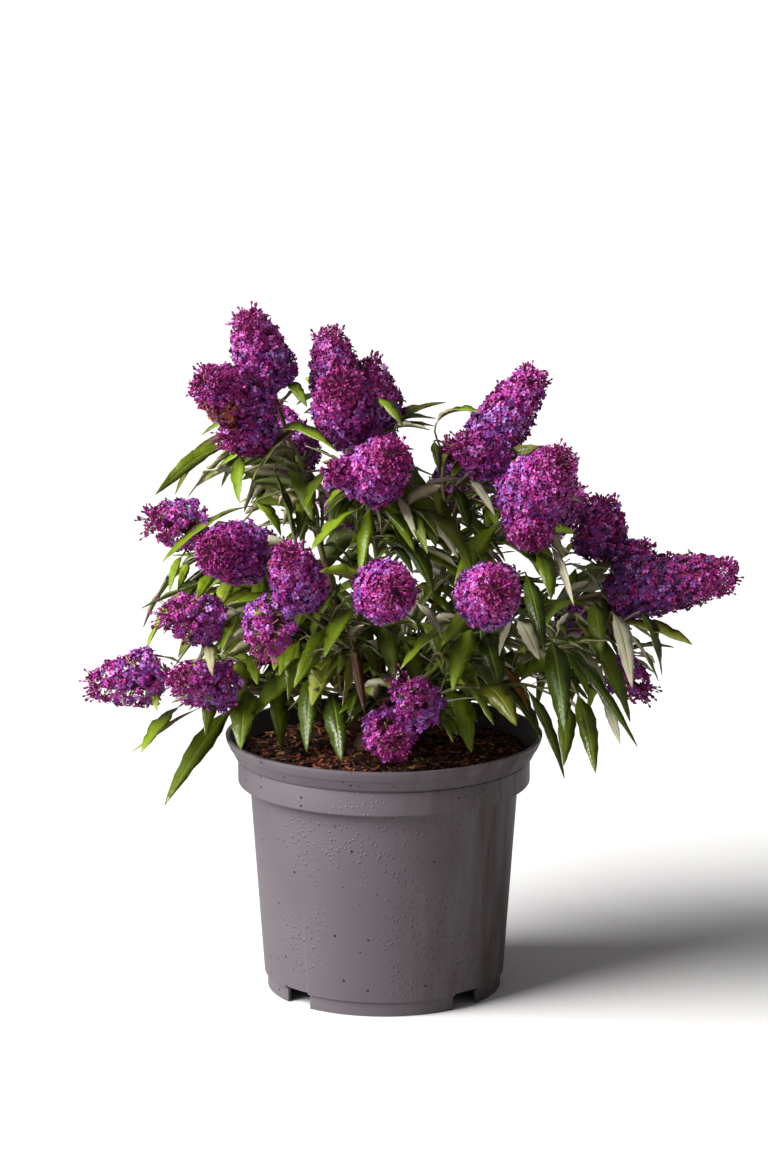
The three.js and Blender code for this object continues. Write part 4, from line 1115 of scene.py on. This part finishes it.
def makeBark():
    sides, rings = bark["sides"], bark["rings"]
    a, s = around(sides), np.linspace(0, 1, rings)
    controls = np.array(list(limbs.values()))
    seed = np.arange(len(controls))[:, None, None] * bark["seed"]
    radii = between([bough["rootRadius"], bough["tipRadius"]], s)[None, :, None] * bark["shrink"]
    radii = radii * barkRelief(a[None, None], s[None, :, None] * bark["run"], seed)
    boughs = tubePoints(controls, radii, sides)
    faceSets = [(faces, 0, True) for faces in tubeFaces(len(controls), rings, sides)]
    look = makeFinish("bark", bark["colour"], 0.85, drift=0.4, driftScale=90, grain=0.8, grainScale=450)
    names = [f"bough_{name}" for name in massNames]
    makePiece("boughs", boughs.reshape(-1, 3), faceSets, [look], names)
    sides, rings = stock["sides"], stock["rings"]
    heights, a = np.linspace(0, 1, rings)[:, None], around(sides)
    relief = barkRelief(a, heights * bark["stockRun"], bark["stockSeed"])
    r = np.interp(heights, *zip(*stock["profile"])) * relief
    r = r * bark["stockShrink"] * (1 + bark["flute"] * np.cos(bark["flutes"] * a + 1) * (1 - heights) ** 2)
    points = turned(r, between([stockFoot, stock["top"]], heights), sides, stock["lean"]).reshape(-1, 3)
    faceSets = [(faces, 0, True) for faces in tubeFaces(1, rings, sides)]
    makePiece("stock", points, faceSets, [look], ["stock"])


makeBark()
makeStems()
print("stems done")


blade = {
    "stations": 14, "across": np.array([-1, -0.06, 0.06, 1]), "crowding": 1.12, "teeth": 0.1, "foot": 0.06,
    "widest": 0.42, "full": 0.9, "taper": 1.7, "stalk": 0.1, "tip": 0.02, "thickness": 0.45, "keel": 0.05,
    "fold": (0.08, 0.5), "ruffle": 0.14, "waves": 19, "curl": 0.5, "twist": 0.8,
}
skin = {
    "drift": 0.3, "driftScale": 45, "veins": 17, "veinSlant": -0.14, "veinHeight": 0.09, "grainScale": 350.0,
    "relief": 0.5, "depth": 0.0007, "wetFrom": (0.35, 0.65), "wetter": -0.12, "drier": 0.14,
    "midrib": colour(112, 134, 48),
}
# A leaf's tone goes from deep to young by luck, youth and painted light: the tone steps lighter with height
# and towards the left, where the key light falls. Odd ones are dealt out by luck: (tone, two salts, share).
leafLuck = {
    "steps": (0.26, 0.58, 0.84, 1.1), "luck": 0.8, "youth": 0.35, "high": ((330, 430), (0, 0.16)),
    "left": ((-180, 0), (-0.1, 0)), "under": (0.5, 0.85),
    "odd": (("olive", 211, 9, 0.10), ("yellow", 307, 13, 0.018), ("rust", 401, 17, 0.010)),
}
stations = np.linspace(0, 1, blade["stations"]) ** blade["crowding"]


# A lance-shaped outline: a rising sine from the stalk to the widest place, then (1 - x^1.7)^0.9 to the tip.
# Every second station is drawn in a little, as a tooth.
def bladeOutline(s):
    w, foot, full = blade["widest"], blade["foot"], blade["full"]
    base = np.sin(np.pi / 2 * np.clip((s - foot) / (w - foot), 0, 1)) ** full
    x = np.clip((s - w) / (1 - w), 0, 1)
    outline = np.where(s < w, base, (1 - x ** blade["taper"]) ** full)
    outline = outline * (1 - blade["teeth"] * (np.arange(len(s)) % 2))
    return np.maximum(outline, np.where(s < 0.5, blade["stalk"], blade["tip"]))


# Blades: the midline is the running sum of its direction, the cross-section is a fold w |v| with a ruffled
# edge, and the underside is drawn to a keel.
def bladePoints(l):
    s, v, seed = stations, blade["across"], l["seed"][:, None]
    heading, rise, bendBy, length = [l[k][:, None] for k in ("heading", "rise", "bend", "length")]
    curl = (seed - 0.5) * 2 * blade["curl"]
    mid = (s[1:] + s[:-1]) / 2
    step = direction(heading + curl * mid, leafSlope(rise, bendBy, mid))
    step = step * (np.diff(s)[None] * length)[..., None]
    spine = l["root"][:, None] + np.concatenate([np.zeros((len(step), 1, 3)), np.cumsum(step, 1)], 1)
    heading = heading + curl * s
    normal = direction(heading, leafSlope(rise, bendBy, s) + np.pi / 2)
    level = direction(heading + np.pi / 2, 0.0)
    twist = (l["roll"][:, None] + (noise(seed * 91, 3) - 0.5) * 2 * blade["twist"] * s)[..., None]
    side = level * np.cos(twist) + normal * np.sin(twist)
    lift = normal * np.cos(twist) - level * np.sin(twist)
    w = (l["width"][:, None] / 2 * bladeOutline(s))[..., None]
    fold = between(blade["fold"], noise(seed * 57, 5))[..., None]
    wave = blade["ruffle"] * np.sin(s * blade["waves"] + seed * 40)[..., None] * v ** 2 * np.sign(v)
    top = spine[:, :, None] + side[:, :, None] * (w * v)[..., None]
    top = top + lift[:, :, None] * (w * (fold * np.abs(v) + wave))[..., None]
    keel = spine - lift * (blade["thickness"] + blade["keel"] * w)
    return np.concatenate([top, keel[:, :, None]], 2)


# The faces of one blade, as triangles: three strips above, the middle one the midrib, and two below. A
# strip and the one under it are split along the same diagonal, so neither shows through the other. Each
# end has a cap.
def bladeFaces(rows, columns):
    keel = columns - 1

    def strip(edge, inner, flip):
        a = np.arange(rows - 1)[:, None] * columns
        pair = np.array([(edge, edge + columns, inner + columns), (edge, inner + columns, inner)])
        return (a[:, :, None] + (pair[:, ::-1] if flip else pair)).reshape(-1, 3)

    top = [strip(0, 1, False), strip(1, 2, False), strip(3, 2, True)]
    under = [strip(0, keel, True), strip(3, keel, False)]
    return np.concatenate(top), np.concatenate(under), endFaces(rows, columns)[:, ::-1]


# A leaf's upper skin: tone drift, a herringbone of side veins from the blade's own map, and a wet gloss.
def makeLeafSkin(name, base, roughness):
    s = skin
    material = makeFinish(f"leaf {name}", base, roughness, s["drift"], s["driftScale"], grain=0)
    tree = material.node_tree
    place, tone = tree.nodes["Texture Coordinate"].outputs, tree.nodes["Group"].outputs["Tone"]
    parts = addNode(tree, "SeparateXYZ", {"Vector": place["UV"]}).outputs
    along = addMath(tree, "MULTIPLY_ADD", parts["Y"], s["veinSlant"], parts["X"])
    veins = addMath(tree, "SINE", addMath(tree, "MULTIPLY", along, 2 * math.pi * s["veins"]))
    fine = addGroup(tree, fineGrain, Vector=place["Object"], Scale=s["grainScale"])
    addRelief(tree, addMath(tree, "MULTIPLY_ADD", veins, s["veinHeight"], fine), s["relief"], s["depth"])
    gloss = addRange(tree, tone, s["wetFrom"], (roughness + s["wetter"], roughness + s["drier"]))
    feed(tree, tree.nodes["Principled BSDF"].inputs["Roughness"], gloss)
    return material


def leafTonesOf(l):
    # painted light: higher leaves and leaves further left get lighter tones
    paintedLight = np.interp(l["root"][:, 2], *leafLuck["high"]) - np.interp(l["root"][:, 0], *leafLuck["left"])
    luck = noise(l["seed"] * 133, 7) * leafLuck["luck"]
    tone = np.searchsorted(leafLuck["steps"], luck + l["young"] * leafLuck["youth"] + paintedLight)
    for name, salt, other, share in leafLuck["odd"]:
        tone = np.where(noise(l["seed"] * salt, other) < share, leafTones.index(name), tone)
    return np.where(l["tone"] < 0, tone, l["tone"]).astype(int)


def makeLeaves():
    looks = [makeLeafSkin(name, base, roughness) for name, (base, roughness) in tops.items()]
    looks.append(makeFinish("midrib", skin["midrib"], 0.55, drift=0.2, driftScale=60, grain=0))
    looks += [makeFinish(f"leaf back {name}", base, 0.9, drift=0.15, driftScale=60, grain=0.2)
              for name, base in unders.items()]
    rows, columns = len(stations), len(blade["across"]) + 1
    top, under, caps = bladeFaces(rows, columns)
    strip = 2 * (rows - 1)      # triangles in a strip
    for massNumber, name in enumerate(massNames):
        l = picked(leaves, leaves["mass"] == massNumber)
        n, tone = len(l["length"]), leafTonesOf(l)
        back = np.searchsorted(leafLuck["under"], noise(l["seed"] * 71, 19)) + len(tops) + 1
        topSlots = np.repeat(np.stack([tone, np.full(n, len(tops)), tone], -1), strip, axis=1).reshape(-1)
        uv = np.zeros((n, rows, columns, 2))
        uv[..., 0] = stations[:, None]
        uv[..., 1] = np.append(np.abs(blade["across"]), 0)
        faceSets = [(repeated(faces, n, rows * columns), slots, True)
                    for faces, slots in ((top, topSlots), (under, np.repeat(back, strip * 2)),
                                         (caps, np.repeat(back, 2)))]
        makePiece(f"leaves_{name}", bladePoints(l).reshape(-1, 3), faceSets, looks,
                  [f"foliage_{name}"], uv.reshape(-1, 2))


makeLeaves()
print("leaves done")


# Petals by tone: the colour, then the tones of a lighter lobe, of a darker lobe and of a floret painted a
# tone darker as shade. The shaded tone of violet and lilac is only painted shade; plum is the buds' own dark
# and also the painted shade of wine.
petals = {
    "rose": (colour(202, 108, 188), "lilac", "magenta", "magenta"),
    "magenta": (colour(168, 38, 140), "rose", "wine", "wine"),
    "wine": (colour(138, 20, 98), "magenta", "wine", "plum"),
    "violet": (colour(132, 60, 154), "lilac", "magenta", "shadedViolet"),
    "lilac": (colour(176, 120, 200), "rose", "violet", "shadedViolet"),
    "plum": (colour(94, 16, 68), "wine", "wine", "plum"),
    "withered": (colour(160, 84, 50), "straw", "wine", "withered"),
    "straw": (colour(204, 128, 84), "straw", "withered", "straw"),
    # painted shade: this tone is only the shaded copy of violet and lilac
    "shadedViolet": (colour(84, 34, 106), "violet", "plum", "shadedViolet"),
}


def tones(*names):
    return np.array([list(petals).index(name) for name in names])


lighterTone, darkerTone, shadedTone = np.array([tones(*row[1:]) for row in petals.values()]).T
floret = {
    "spacing": 4.0, "packing": 0.87, "lobe": 2.75, "throat": 0.6, "eye": -0.9, "collar": -0.3, "tube": 6.5,
    "outline": ((0.40, -0.40, 0.3), (0.40, 0.40, 0.05), (0.98, -0.34, -0.12), (0.98, 0.34, 0.12)),
    "sizes": (0.84, 1.16), "sizeAlong": (1.04, 0.88), "tilt": 0.4, "stray": 0.9, "proud": -1.3,
    "lobeLift": 0.5, "liftShares": (0.5, 0.5, 1.2, 1.2), "lobeSizes": (0.82, 1.12),
    "halfCup": 1.3, "cup": (-0.1, 0.35), "cupDepth": 1.3, "halfSize": 0.82,
}
head = {"shoulder": 0.86, "tipEnd": 0.97, "sink": 2, "step": 0.01, "tipZone": 0.6, "closed": 0.28,
        "half": 0.56, "young": 20}
cyme = {"spacing": 12.5, "stray": 1.0, "lump": 1.9, "looseLump": 1.6, "spread": 0.55, "gather": 0.84,
        "looseReach": 1.07, "looseKept": 0.93, "missing": 0.04, "stalk": 0.5, "drop": 9,
        "rootRange": (-6, -8), "stalkShare": 0.86, "stalkBow": 1.5, "stalkSides": 4}
bud = {"rings": ((0.28, -6), (0.32, 0.4), (0.85, 1.5), (0.8, 2.4), (0.35, 3.1)), "sides": 5, "clump": 3,
       "spread": 1.3, "out": 0.4, "sizes": (0.8, 1.15), "extra": (8, 14), "bigHead": 30, "extraFrom": 0.9,
       "extraShort": 0.005, "reach": (2.6, 5.2), "tones": ("magenta", "wine", "plum"),
       "shares": (0.3, 0.45, 0.25), "lean": {"skin": 0.6, "aim": 0.3, "out": 0.9, "stray": 0.22},
       "extraLean": {"aim": 0.6, "out": 0.3, "stray": 0.2}}
# The heart's dark wine is partly the tubes' own colour and partly painted shade between florets.
heart = {"rings": 11, "sides": 12, "end": 0.84, "bumps": 0.16, "gap": (5.0, 12.0), "thinnest": 1.6,
         "neck": 0.2, "swell": 4, "colour": colour(100, 20, 70), "stalk": colour(150, 132, 84)}
spray = {
    "waves": (2, 9), "shift": 1.3, "wave": 0.5, "luck": 0.5, "climb": 1.5, "swing": 0.55, "warmest": 1.6,
    "warmth": (1.4, 0.8, 0.45, 0.15), "tones": ("rose", "magenta", "violet", "lilac"),
    "strays": ("rose", "magenta", "magenta", "wine", "violet"), "strayShare": 0.24,
    "tip": 0.82, "tipWine": (0.35, 0.85), "towards": -0.75, "paleTip": 0.7,
}
withered = {"centre": seen(216, 421, -62), "radius": 15, "edge": 4,
            "tones": ("withered", "withered", "straw", "wine")}


# One floret: four round lobes about a throat, each a little twisted, closed below by a second skin that is
# split the other way, and a tube drawn down to a point.
def floretTemplate():
    f = floret
    points, faces = [(0, 0, f["eye"])], []
    for k in range(4):
        a = math.radians(90 * k - 45)
        points.append((f["throat"] * math.cos(a), f["throat"] * math.sin(a), f["collar"]))
    for k in range(4):
        a = math.radians(90 * k)
        for x, y, z in f["outline"]:
            x, y = x * f["lobe"], y * f["lobe"]
            points.append((x * math.cos(a) - y * math.sin(a), x * math.sin(a) + y * math.cos(a), z))
    points.append((0, 0, -f["tube"]))
    tube = len(points) - 1
    for k in range(4):
        right, left = 1 + k, 1 + (k + 1) % 4
        mr, ml, tr, tl = range(5 + 4 * k, 9 + 4 * k)
        faces += [(0, right, mr), (0, mr, ml), (0, ml, left), (mr, tr, tl), (mr, tl, ml),
                  (right, left, ml), (right, ml, mr), (ml, tl, tr), (ml, tr, mr), (right, tube, left)]
    return np.array(points, float), np.array(faces)


# Copies of a template: each is turned so that its z looks along its facing, spun, scaled and moved.
def placedCopies(shape, centres, facing, spin, scale):
    least = np.eye(3)[np.argmin(np.abs(facing), axis=-1)]
    a = unit(np.cross(least, facing))
    b = np.cross(facing, a)
    x = a * np.cos(spin)[:, None] + b * np.sin(spin)[:, None]
    y = np.cross(facing, x)
    return centres[:, None] + (shape * scale[:, None, None]) @ np.stack([x, y, facing], 1)


# The head's profile, closed at its tip by a dome: past the shoulder it falls as a quarter of an ellipse.
def bloomProfile(t):
    over = np.clip((t - head["shoulder"]) / (head["tipEnd"] - head["shoulder"]), 0, 1)
    return headProfile(np.minimum(t, head["shoulder"])) * np.sqrt(1 - over ** 2)


def headFrame(shoot):
    aim = shoot["aim"]
    u = unit(np.cross(up, aim))
    return aim, u, np.cross(aim, u)


# A head's skin at a share t of its length and an angle a: foot + aim t L + R(t) (u cos a + v sin a).
def headSurface(shoot, t, a):
    length, width = shoot["head"]
    aim, u, v = headFrame(shoot)
    radial = u * np.cos(a)[:, None] + v * np.sin(a)[:, None]
    low, high = np.maximum(t - head["step"], 0), np.minimum(t + head["step"], head["tipEnd"])
    slope = width / 2 * (bloomProfile(high) - bloomProfile(low))
    normal = unit(radial * (length * (high - low))[:, None] - aim * slope[:, None])
    along = aim * (t * length - head["sink"])[:, None]
    return shoot["foot"] + along + radial * (width / 2 * bloomProfile(t))[:, None], normal, radial


# Places wind up a head by the golden angle, each with the same share of its skin.
def windUp(shoot, spacing, steps=240):
    length, width = shoot["head"]
    t = np.linspace(0, head["tipEnd"], steps)
    radius = width / 2 * bloomProfile(t)
    run = length * head["tipEnd"] / (steps - 1)
    area = np.cumsum(2 * np.pi * radius * np.hypot(run, np.gradient(radius)))
    count = max(3, int(area[-1] / (spacing ** 2 * floret["packing"])))
    i = np.arange(count)
    return np.interp((i + 0.5) / count, area / area[-1], t), i * math.radians(137.508)


# Florets gather in cymes, small domes that stand out of the head: near a cyme's middle they are proud, and
# at its rim they sink and lean outwards. A loose head has gaps between its cymes.
def gatherFlorets(shoot):
    loose, half = shoot["loose"], cyme["spacing"] / 2
    t, a = windUp(shoot, floret["spacing"])
    cymeT, cymeA = windUp(shoot, cyme["spacing"])
    middles = headSurface(shoot, cymeT, cymeA)[0] + chance.normal(0, cyme["stray"], (len(cymeT), 3))
    skin, normal, radial = headSurface(shoot, t, a)
    offsets = skin[:, None] - middles
    nearest = np.argmin(np.linalg.norm(offsets, axis=-1), axis=1)
    offset = offsets[np.arange(len(t)), nearest] / half
    away = np.linalg.norm(offset, axis=-1, keepdims=True)
    lump = cyme["lump"] * (cyme["looseLump"] if loose else 1)
    grow = floret["proud"] + lump * (0.5 - away ** 2) + chance.normal(0, floret["stray"], (len(t), 1))
    place = skin + normal * grow
    facing = unit(normal + offset * cyme["spread"] + chance.normal(0, floret["tilt"], (len(t), 3)))
    width, tip, kept = bloomProfile(t), t > head["tipZone"], np.full(len(t), True)
    if loose:
        place = place - offset * (half * (1 - cyme["gather"]))
        kept = (away[:, 0] < cyme["looseReach"]) & (chance.uniform(0, 1, len(t)) < cyme["looseKept"])
        kept &= (chance.uniform(0, 1, len(middles)) > cyme["missing"])[nearest]
    return {"t": t, "a": a, "place": place, "facing": facing, "normal": normal, "radial": radial,
            "kept": kept, "closed": tip & (width < head["closed"]),
            "half": tip & (width < head["half"])}, middles


# Open florets: their lobes differ in size and lift, and those near the tip of a head are still cupped.
def openFlorets(shape, f):
    n, s = len(f["t"]), floret
    lobes, outer = np.tile(shape, (n, 1, 1)), slice(5, 21)      # the template's points past the throat
    lift = np.repeat(chance.normal(0, s["lobeLift"], (n, 4)), 4, 1)
    lobes[:, outer, 2] += lift * np.tile(s["liftShares"], 4)
    lobes[:, outer, :2] *= np.repeat(chance.uniform(*s["lobeSizes"], (n, 4)), 4, 1)[..., None]
    cup = np.where(f["half"], s["halfCup"], 0.0) + chance.normal(*s["cup"], n)
    reach = np.hypot(lobes[..., 0], lobes[..., 1]) / s["lobe"]
    lobes[..., 2] += cup[:, None] * reach ** 2 * s["cupDepth"]
    lobes[..., :2] *= np.where(f["half"], s["halfSize"], 1.0)[:, None, None]
    scale = chance.uniform(*s["sizes"], n) * between(s["sizeAlong"], f["t"])
    return placedCopies(lobes, f["place"], f["facing"], chance.uniform(0, 7, n), scale)


# Colour is dealt out by spray: a slow wave over the head picks rose, magenta or violet, with more violet
# low down, and luck strays from it. Tips are wine, more of them on heads that face the front. On heads that
# stand in shade a share of florets is painted a tone darker, as painted shade, fewer near their tips, and one
# spot is withered.
def floretTones(f, shoot):
    number, t, s = shoot["number"], f["t"], spray
    across, along = s["waves"]
    lucky = lambda share: chance.uniform(0, 1, len(t)) < share
    wave = np.sin(f["a"] * across + number) * np.sin(t * along + number * s["shift"]) * s["wave"]
    wave = wave + chance.normal(0, s["luck"], len(t))
    warm = np.clip(t * s["climb"] + wave * s["swing"], 0, s["warmest"])
    tone = np.select([warm > edge for edge in s["warmth"]], list(tones(*s["tones"])), tones("violet"))
    tone = np.where(lucky(s["strayShare"]), chance.choice(tones(*s["strays"]), len(t)), tone)
    wine = s["tipWine"][int(shoot["aim"][1] < s["towards"])]
    tone = np.where((t > s["tip"]) & lucky(wine), tones("wine"), tone)
    # painted shade: a share of the florets on shaded heads goes a tone darker
    tone = np.where(lucky(shoot["dark"] ** np.where(t > s["paleTip"], 3, 1)), shadedTone[tone], tone)
    away = np.linalg.norm(f["place"] - withered["centre"], axis=1)
    away = away + chance.normal(0, withered["edge"], len(t))
    return np.where(away < withered["radius"], chance.choice(tones(*withered["tones"]), len(t)), tone)


# Each lobe may be one tone lighter or darker than its floret, and the throat is always a tone darker, as
# painted shade. A lobe has ten faces: three in the throat, two above, four below and one on the tube.
def lobeTones(tone, lighterShare=0.12, darkerShare=0.16):
    luck = chance.uniform(0, 1, (len(tone), 4))
    lobe = np.select([luck < lighterShare, luck > 1 - darkerShare],
                     [lighterTone[tone][:, None], darkerTone[tone][:, None]], tone[:, None])
    # painted shade: the throat's three faces and the tube take the floret's darker tone
    throat = np.broadcast_to(darkerTone[tone][:, None, None], (len(tone), 4, 3))
    return np.concatenate([throat, np.repeat(lobe[..., None], 6, 2), throat[..., :1]], 2).reshape(-1)


# Buds close the tip of a head: they splay out from its axis as a star, and a few stand past it on stalks.
# A bud is thin rings, then swells to a club with a blunt end.
def placedBuds(shoot, f):
    rings, aim = np.array(bud["rings"]), shoot["aim"]
    shape = turned(rings[:, :1], rings[:, 1:], bud["sides"]).reshape(1, -1, 3)
    extra = bud["extra"][int(shoot["head"][0] > bud["bigHead"])]
    t = chance.uniform(bud["extraFrom"], head["tipEnd"] - bud["extraShort"], extra)
    place, normal, radial = headSurface(shoot, t, chance.uniform(0, 2 * np.pi, extra))
    lean = bud["extraLean"]
    long = normal + aim * lean["aim"] + radial * lean["out"]
    long = unit(long + chance.normal(0, lean["stray"], (extra, 3)))
    place = place + long * chance.uniform(0, bud["reach"][int(shoot["loose"])], (extra, 1))
    f = {k: np.repeat(v, bud["clump"], axis=0) for k, v in f.items()}
    luck = chance.normal(0, 1, f["normal"].shape)
    lean = bud["lean"]
    star = f["normal"] * lean["skin"] + f["radial"] * lean["out"] + aim * lean["aim"] + luck * lean["stray"]
    star = unit(star)
    centres = np.vstack([f["place"] + star * bud["out"] + luck[:, ::-1] * bud["spread"], place])
    scale = chance.uniform(*bud["sizes"], len(centres))
    return placedCopies(shape, centres, np.vstack([star, long]), chance.uniform(0, 7, len(centres)), scale)


# The heart of each head: a dark spindle R(t) less the florets' tubes, thinner in a loose head, and one
# stalk from the axis to each cyme. Its dark wine is partly the tubes' own colour and partly painted shade,
# the shade seen in the gaps between florets.
def makeHearts(name, own, allMiddles, looks):
    rings, sides = heart["rings"], heart["sides"]
    t, a = np.linspace(0.0, heart["end"], rings), around(sides)
    points, stalks = [], []
    for shoot, middles in zip(own, allMiddles):
        length, width = shoot["head"]
        aim, u, v = headFrame(shoot)
        luck = noise(shoot["number"], np.arange(rings)[:, None], np.arange(sides)[None])
        core = np.maximum(width / 2 * headProfile(t) - heart["gap"][int(shoot["loose"])], heart["thinnest"])
        core = core * np.minimum(1, heart["neck"] + heart["swell"] * t)
        ring = u * np.cos(a)[:, None] + v * np.sin(a)[:, None]
        middle = shoot["foot"] + aim * (t * length - head["sink"])[:, None, None]
        points.append(middle + ring * (core[:, None] * (1 + heart["bumps"] * (luck - 0.5)))[..., None])
        along = np.clip((middles - shoot["foot"]) @ aim - cyme["drop"], cyme["rootRange"][0],
                        length + cyme["rootRange"][1])
        root = shoot["foot"] + aim * along[:, None]
        tip = root + (middles - root) * cyme["stalkShare"]
        stalks.append(np.stack([root, (root + tip) / 2 + aim * cyme["stalkBow"], tip], 1))
    points, controls, four = np.array(points).reshape(-1, 3), np.concatenate(stalks), cyme["stalkSides"]
    tube = tubePoints(controls, np.full((len(controls), four), cyme["stalk"]), four).reshape(-1, 3)
    faceSets = [(faces, 0, True) for faces in tubeFaces(len(own), rings, sides)]
    faceSets += [(faces + len(points), 1, True) for faces in tubeFaces(len(controls), four, four)]
    makePiece(f"heart_{name}", np.vstack([points, tube]), faceSets, looks, [f"foliage_{name}"])


def makeHeads():
    shape, faces = floretTemplate()
    looks = [makeFinish(f"petal {name}", row[0], 0.6, drift=0.22, driftScale=180, grain=0.15, grainScale=900)
             for name, row in petals.items()]
    # painted shade: the core's dark wine stands in for the shade between florets as well as the tubes
    looks.append(makeFinish("flower head core and painted shade", heart["colour"], 0.9, drift=0.4, driftScale=150, grain=0.5))
    looks.append(makeFinish("flower stalk", heart["stalk"], 0.8, drift=0.2, driftScale=80, grain=0.2))
    total = 0
    for massNumber, name in enumerate(massNames):
        own = [shoot for shoot in shoots if shoot["mass"] == massNumber and shoot["head"]]
        if not own:
            continue
        copies, tone, buds, budTone, allMiddles = [], [], [], [], []
        for shoot in own:
            f, middles = gatherFlorets(shoot)
            shut = f["closed"] | (shoot["head"][0] < head["young"])
            opened = picked(f, f["kept"] & ~shut)
            copies.append(openFlorets(shape, opened))
            tone.append(floretTones(opened, shoot))
            buds.append(placedBuds(shoot, picked(f, f["kept"] & shut)))
            budTone.append(chance.choice(tones(*bud["tones"]), len(buds[-1]), p=bud["shares"]))
            allMiddles.append(middles)
        florets, buds, budTone = np.concatenate(copies), np.concatenate(buds), np.concatenate(budTone)
        total += len(florets)
        makePiece(f"blossom_{name}", florets.reshape(-1, 3),
                  [(repeated(faces, len(florets), len(shape)), lobeTones(np.concatenate(tone)), False)],
                  looks, [f"foliage_{name}"])
        sides, ends = tubeFaces(len(buds), len(bud["rings"]), bud["sides"])
        faceSets = [(part, np.repeat(budTone, len(part) // len(buds)), True) for part in (sides, ends)]
        makePiece(f"buds_{name}", buds.reshape(-1, 3), faceSets, looks, [f"foliage_{name}"])
        makeHearts(name, own, allMiddles, looks[-2:])
    print("florets:", total)


makeHeads()
print("flower heads done")


studio = {
    "half": 30, "floor": colour(228, 227, 226), "bounce": colour(168, 166, 166),    # half in metres
    "keyFrom": (-0.93, -0.38, 0.74), "keyStrength": 7.1, "keySpread": 44, "fill": 0.17, "backdrop": 0.95,
}


# A pale floor that throws less light back up than it shows, a soft key from the left, a white backdrop that
# lights the plant weakly, and the camera.
def makeStudio():
    s = studio
    scene = bpy.context.scene
    mesh = bpy.data.meshes.new("floor")
    corners = [(x * s["half"], y * s["half"], 0) for x, y in ((-1, -1), (1, -1), (1, 1), (-1, 1))]
    mesh.from_pydata(corners, [], [(0, 1, 2, 3)])
    pale = makeFinish("studio floor", s["floor"], 0.9, drift=0.0, grain=0)
    tree = pale.node_tree
    shade = addBlend(tree, s["bounce"], s["floor"], addNode(tree, "LightPath", {}))
    feed(tree, tree.nodes["Principled BSDF"].inputs["Base Color"], shade)
    mesh.materials.append(pale)
    floor = addObject("floor", mesh)
    key = bpy.data.lights.new("key", "SUN")
    key.energy = s["keyStrength"]
    key.angle = math.radians(s["keySpread"])
    x, y, z = s["keyFrom"]
    turn = (math.atan2(math.hypot(x, y), z), 0, math.atan2(y, x) + math.pi / 2)
    addObject("key", key).rotation_euler = turn
    world = bpy.data.worlds.new("studio")
    world.use_nodes = True
    tree = world.node_tree
    strength = addRange(tree, addNode(tree, "LightPath", {}), (0.0, 1.0), (s["fill"], s["backdrop"]))
    feed(tree, tree.nodes["Background"].inputs["Color"], (1, 1, 1, 1))
    feed(tree, tree.nodes["Background"].inputs["Strength"], strength)
    scene.world = world
    camera = bpy.data.cameras.new("camera")
    camera.lens = view["lens"]
    camera.sensor_width = view["sensor"]
    holder = addObject("camera", camera)
    holder.location = (eye * toMetres).tolist()
    holder.rotation_euler = (math.radians(90 - view["pitch"]), 0, 0)
    scene.camera = holder
    scene.view_settings.view_transform = "Standard"


makeStudio()
print("studio done")
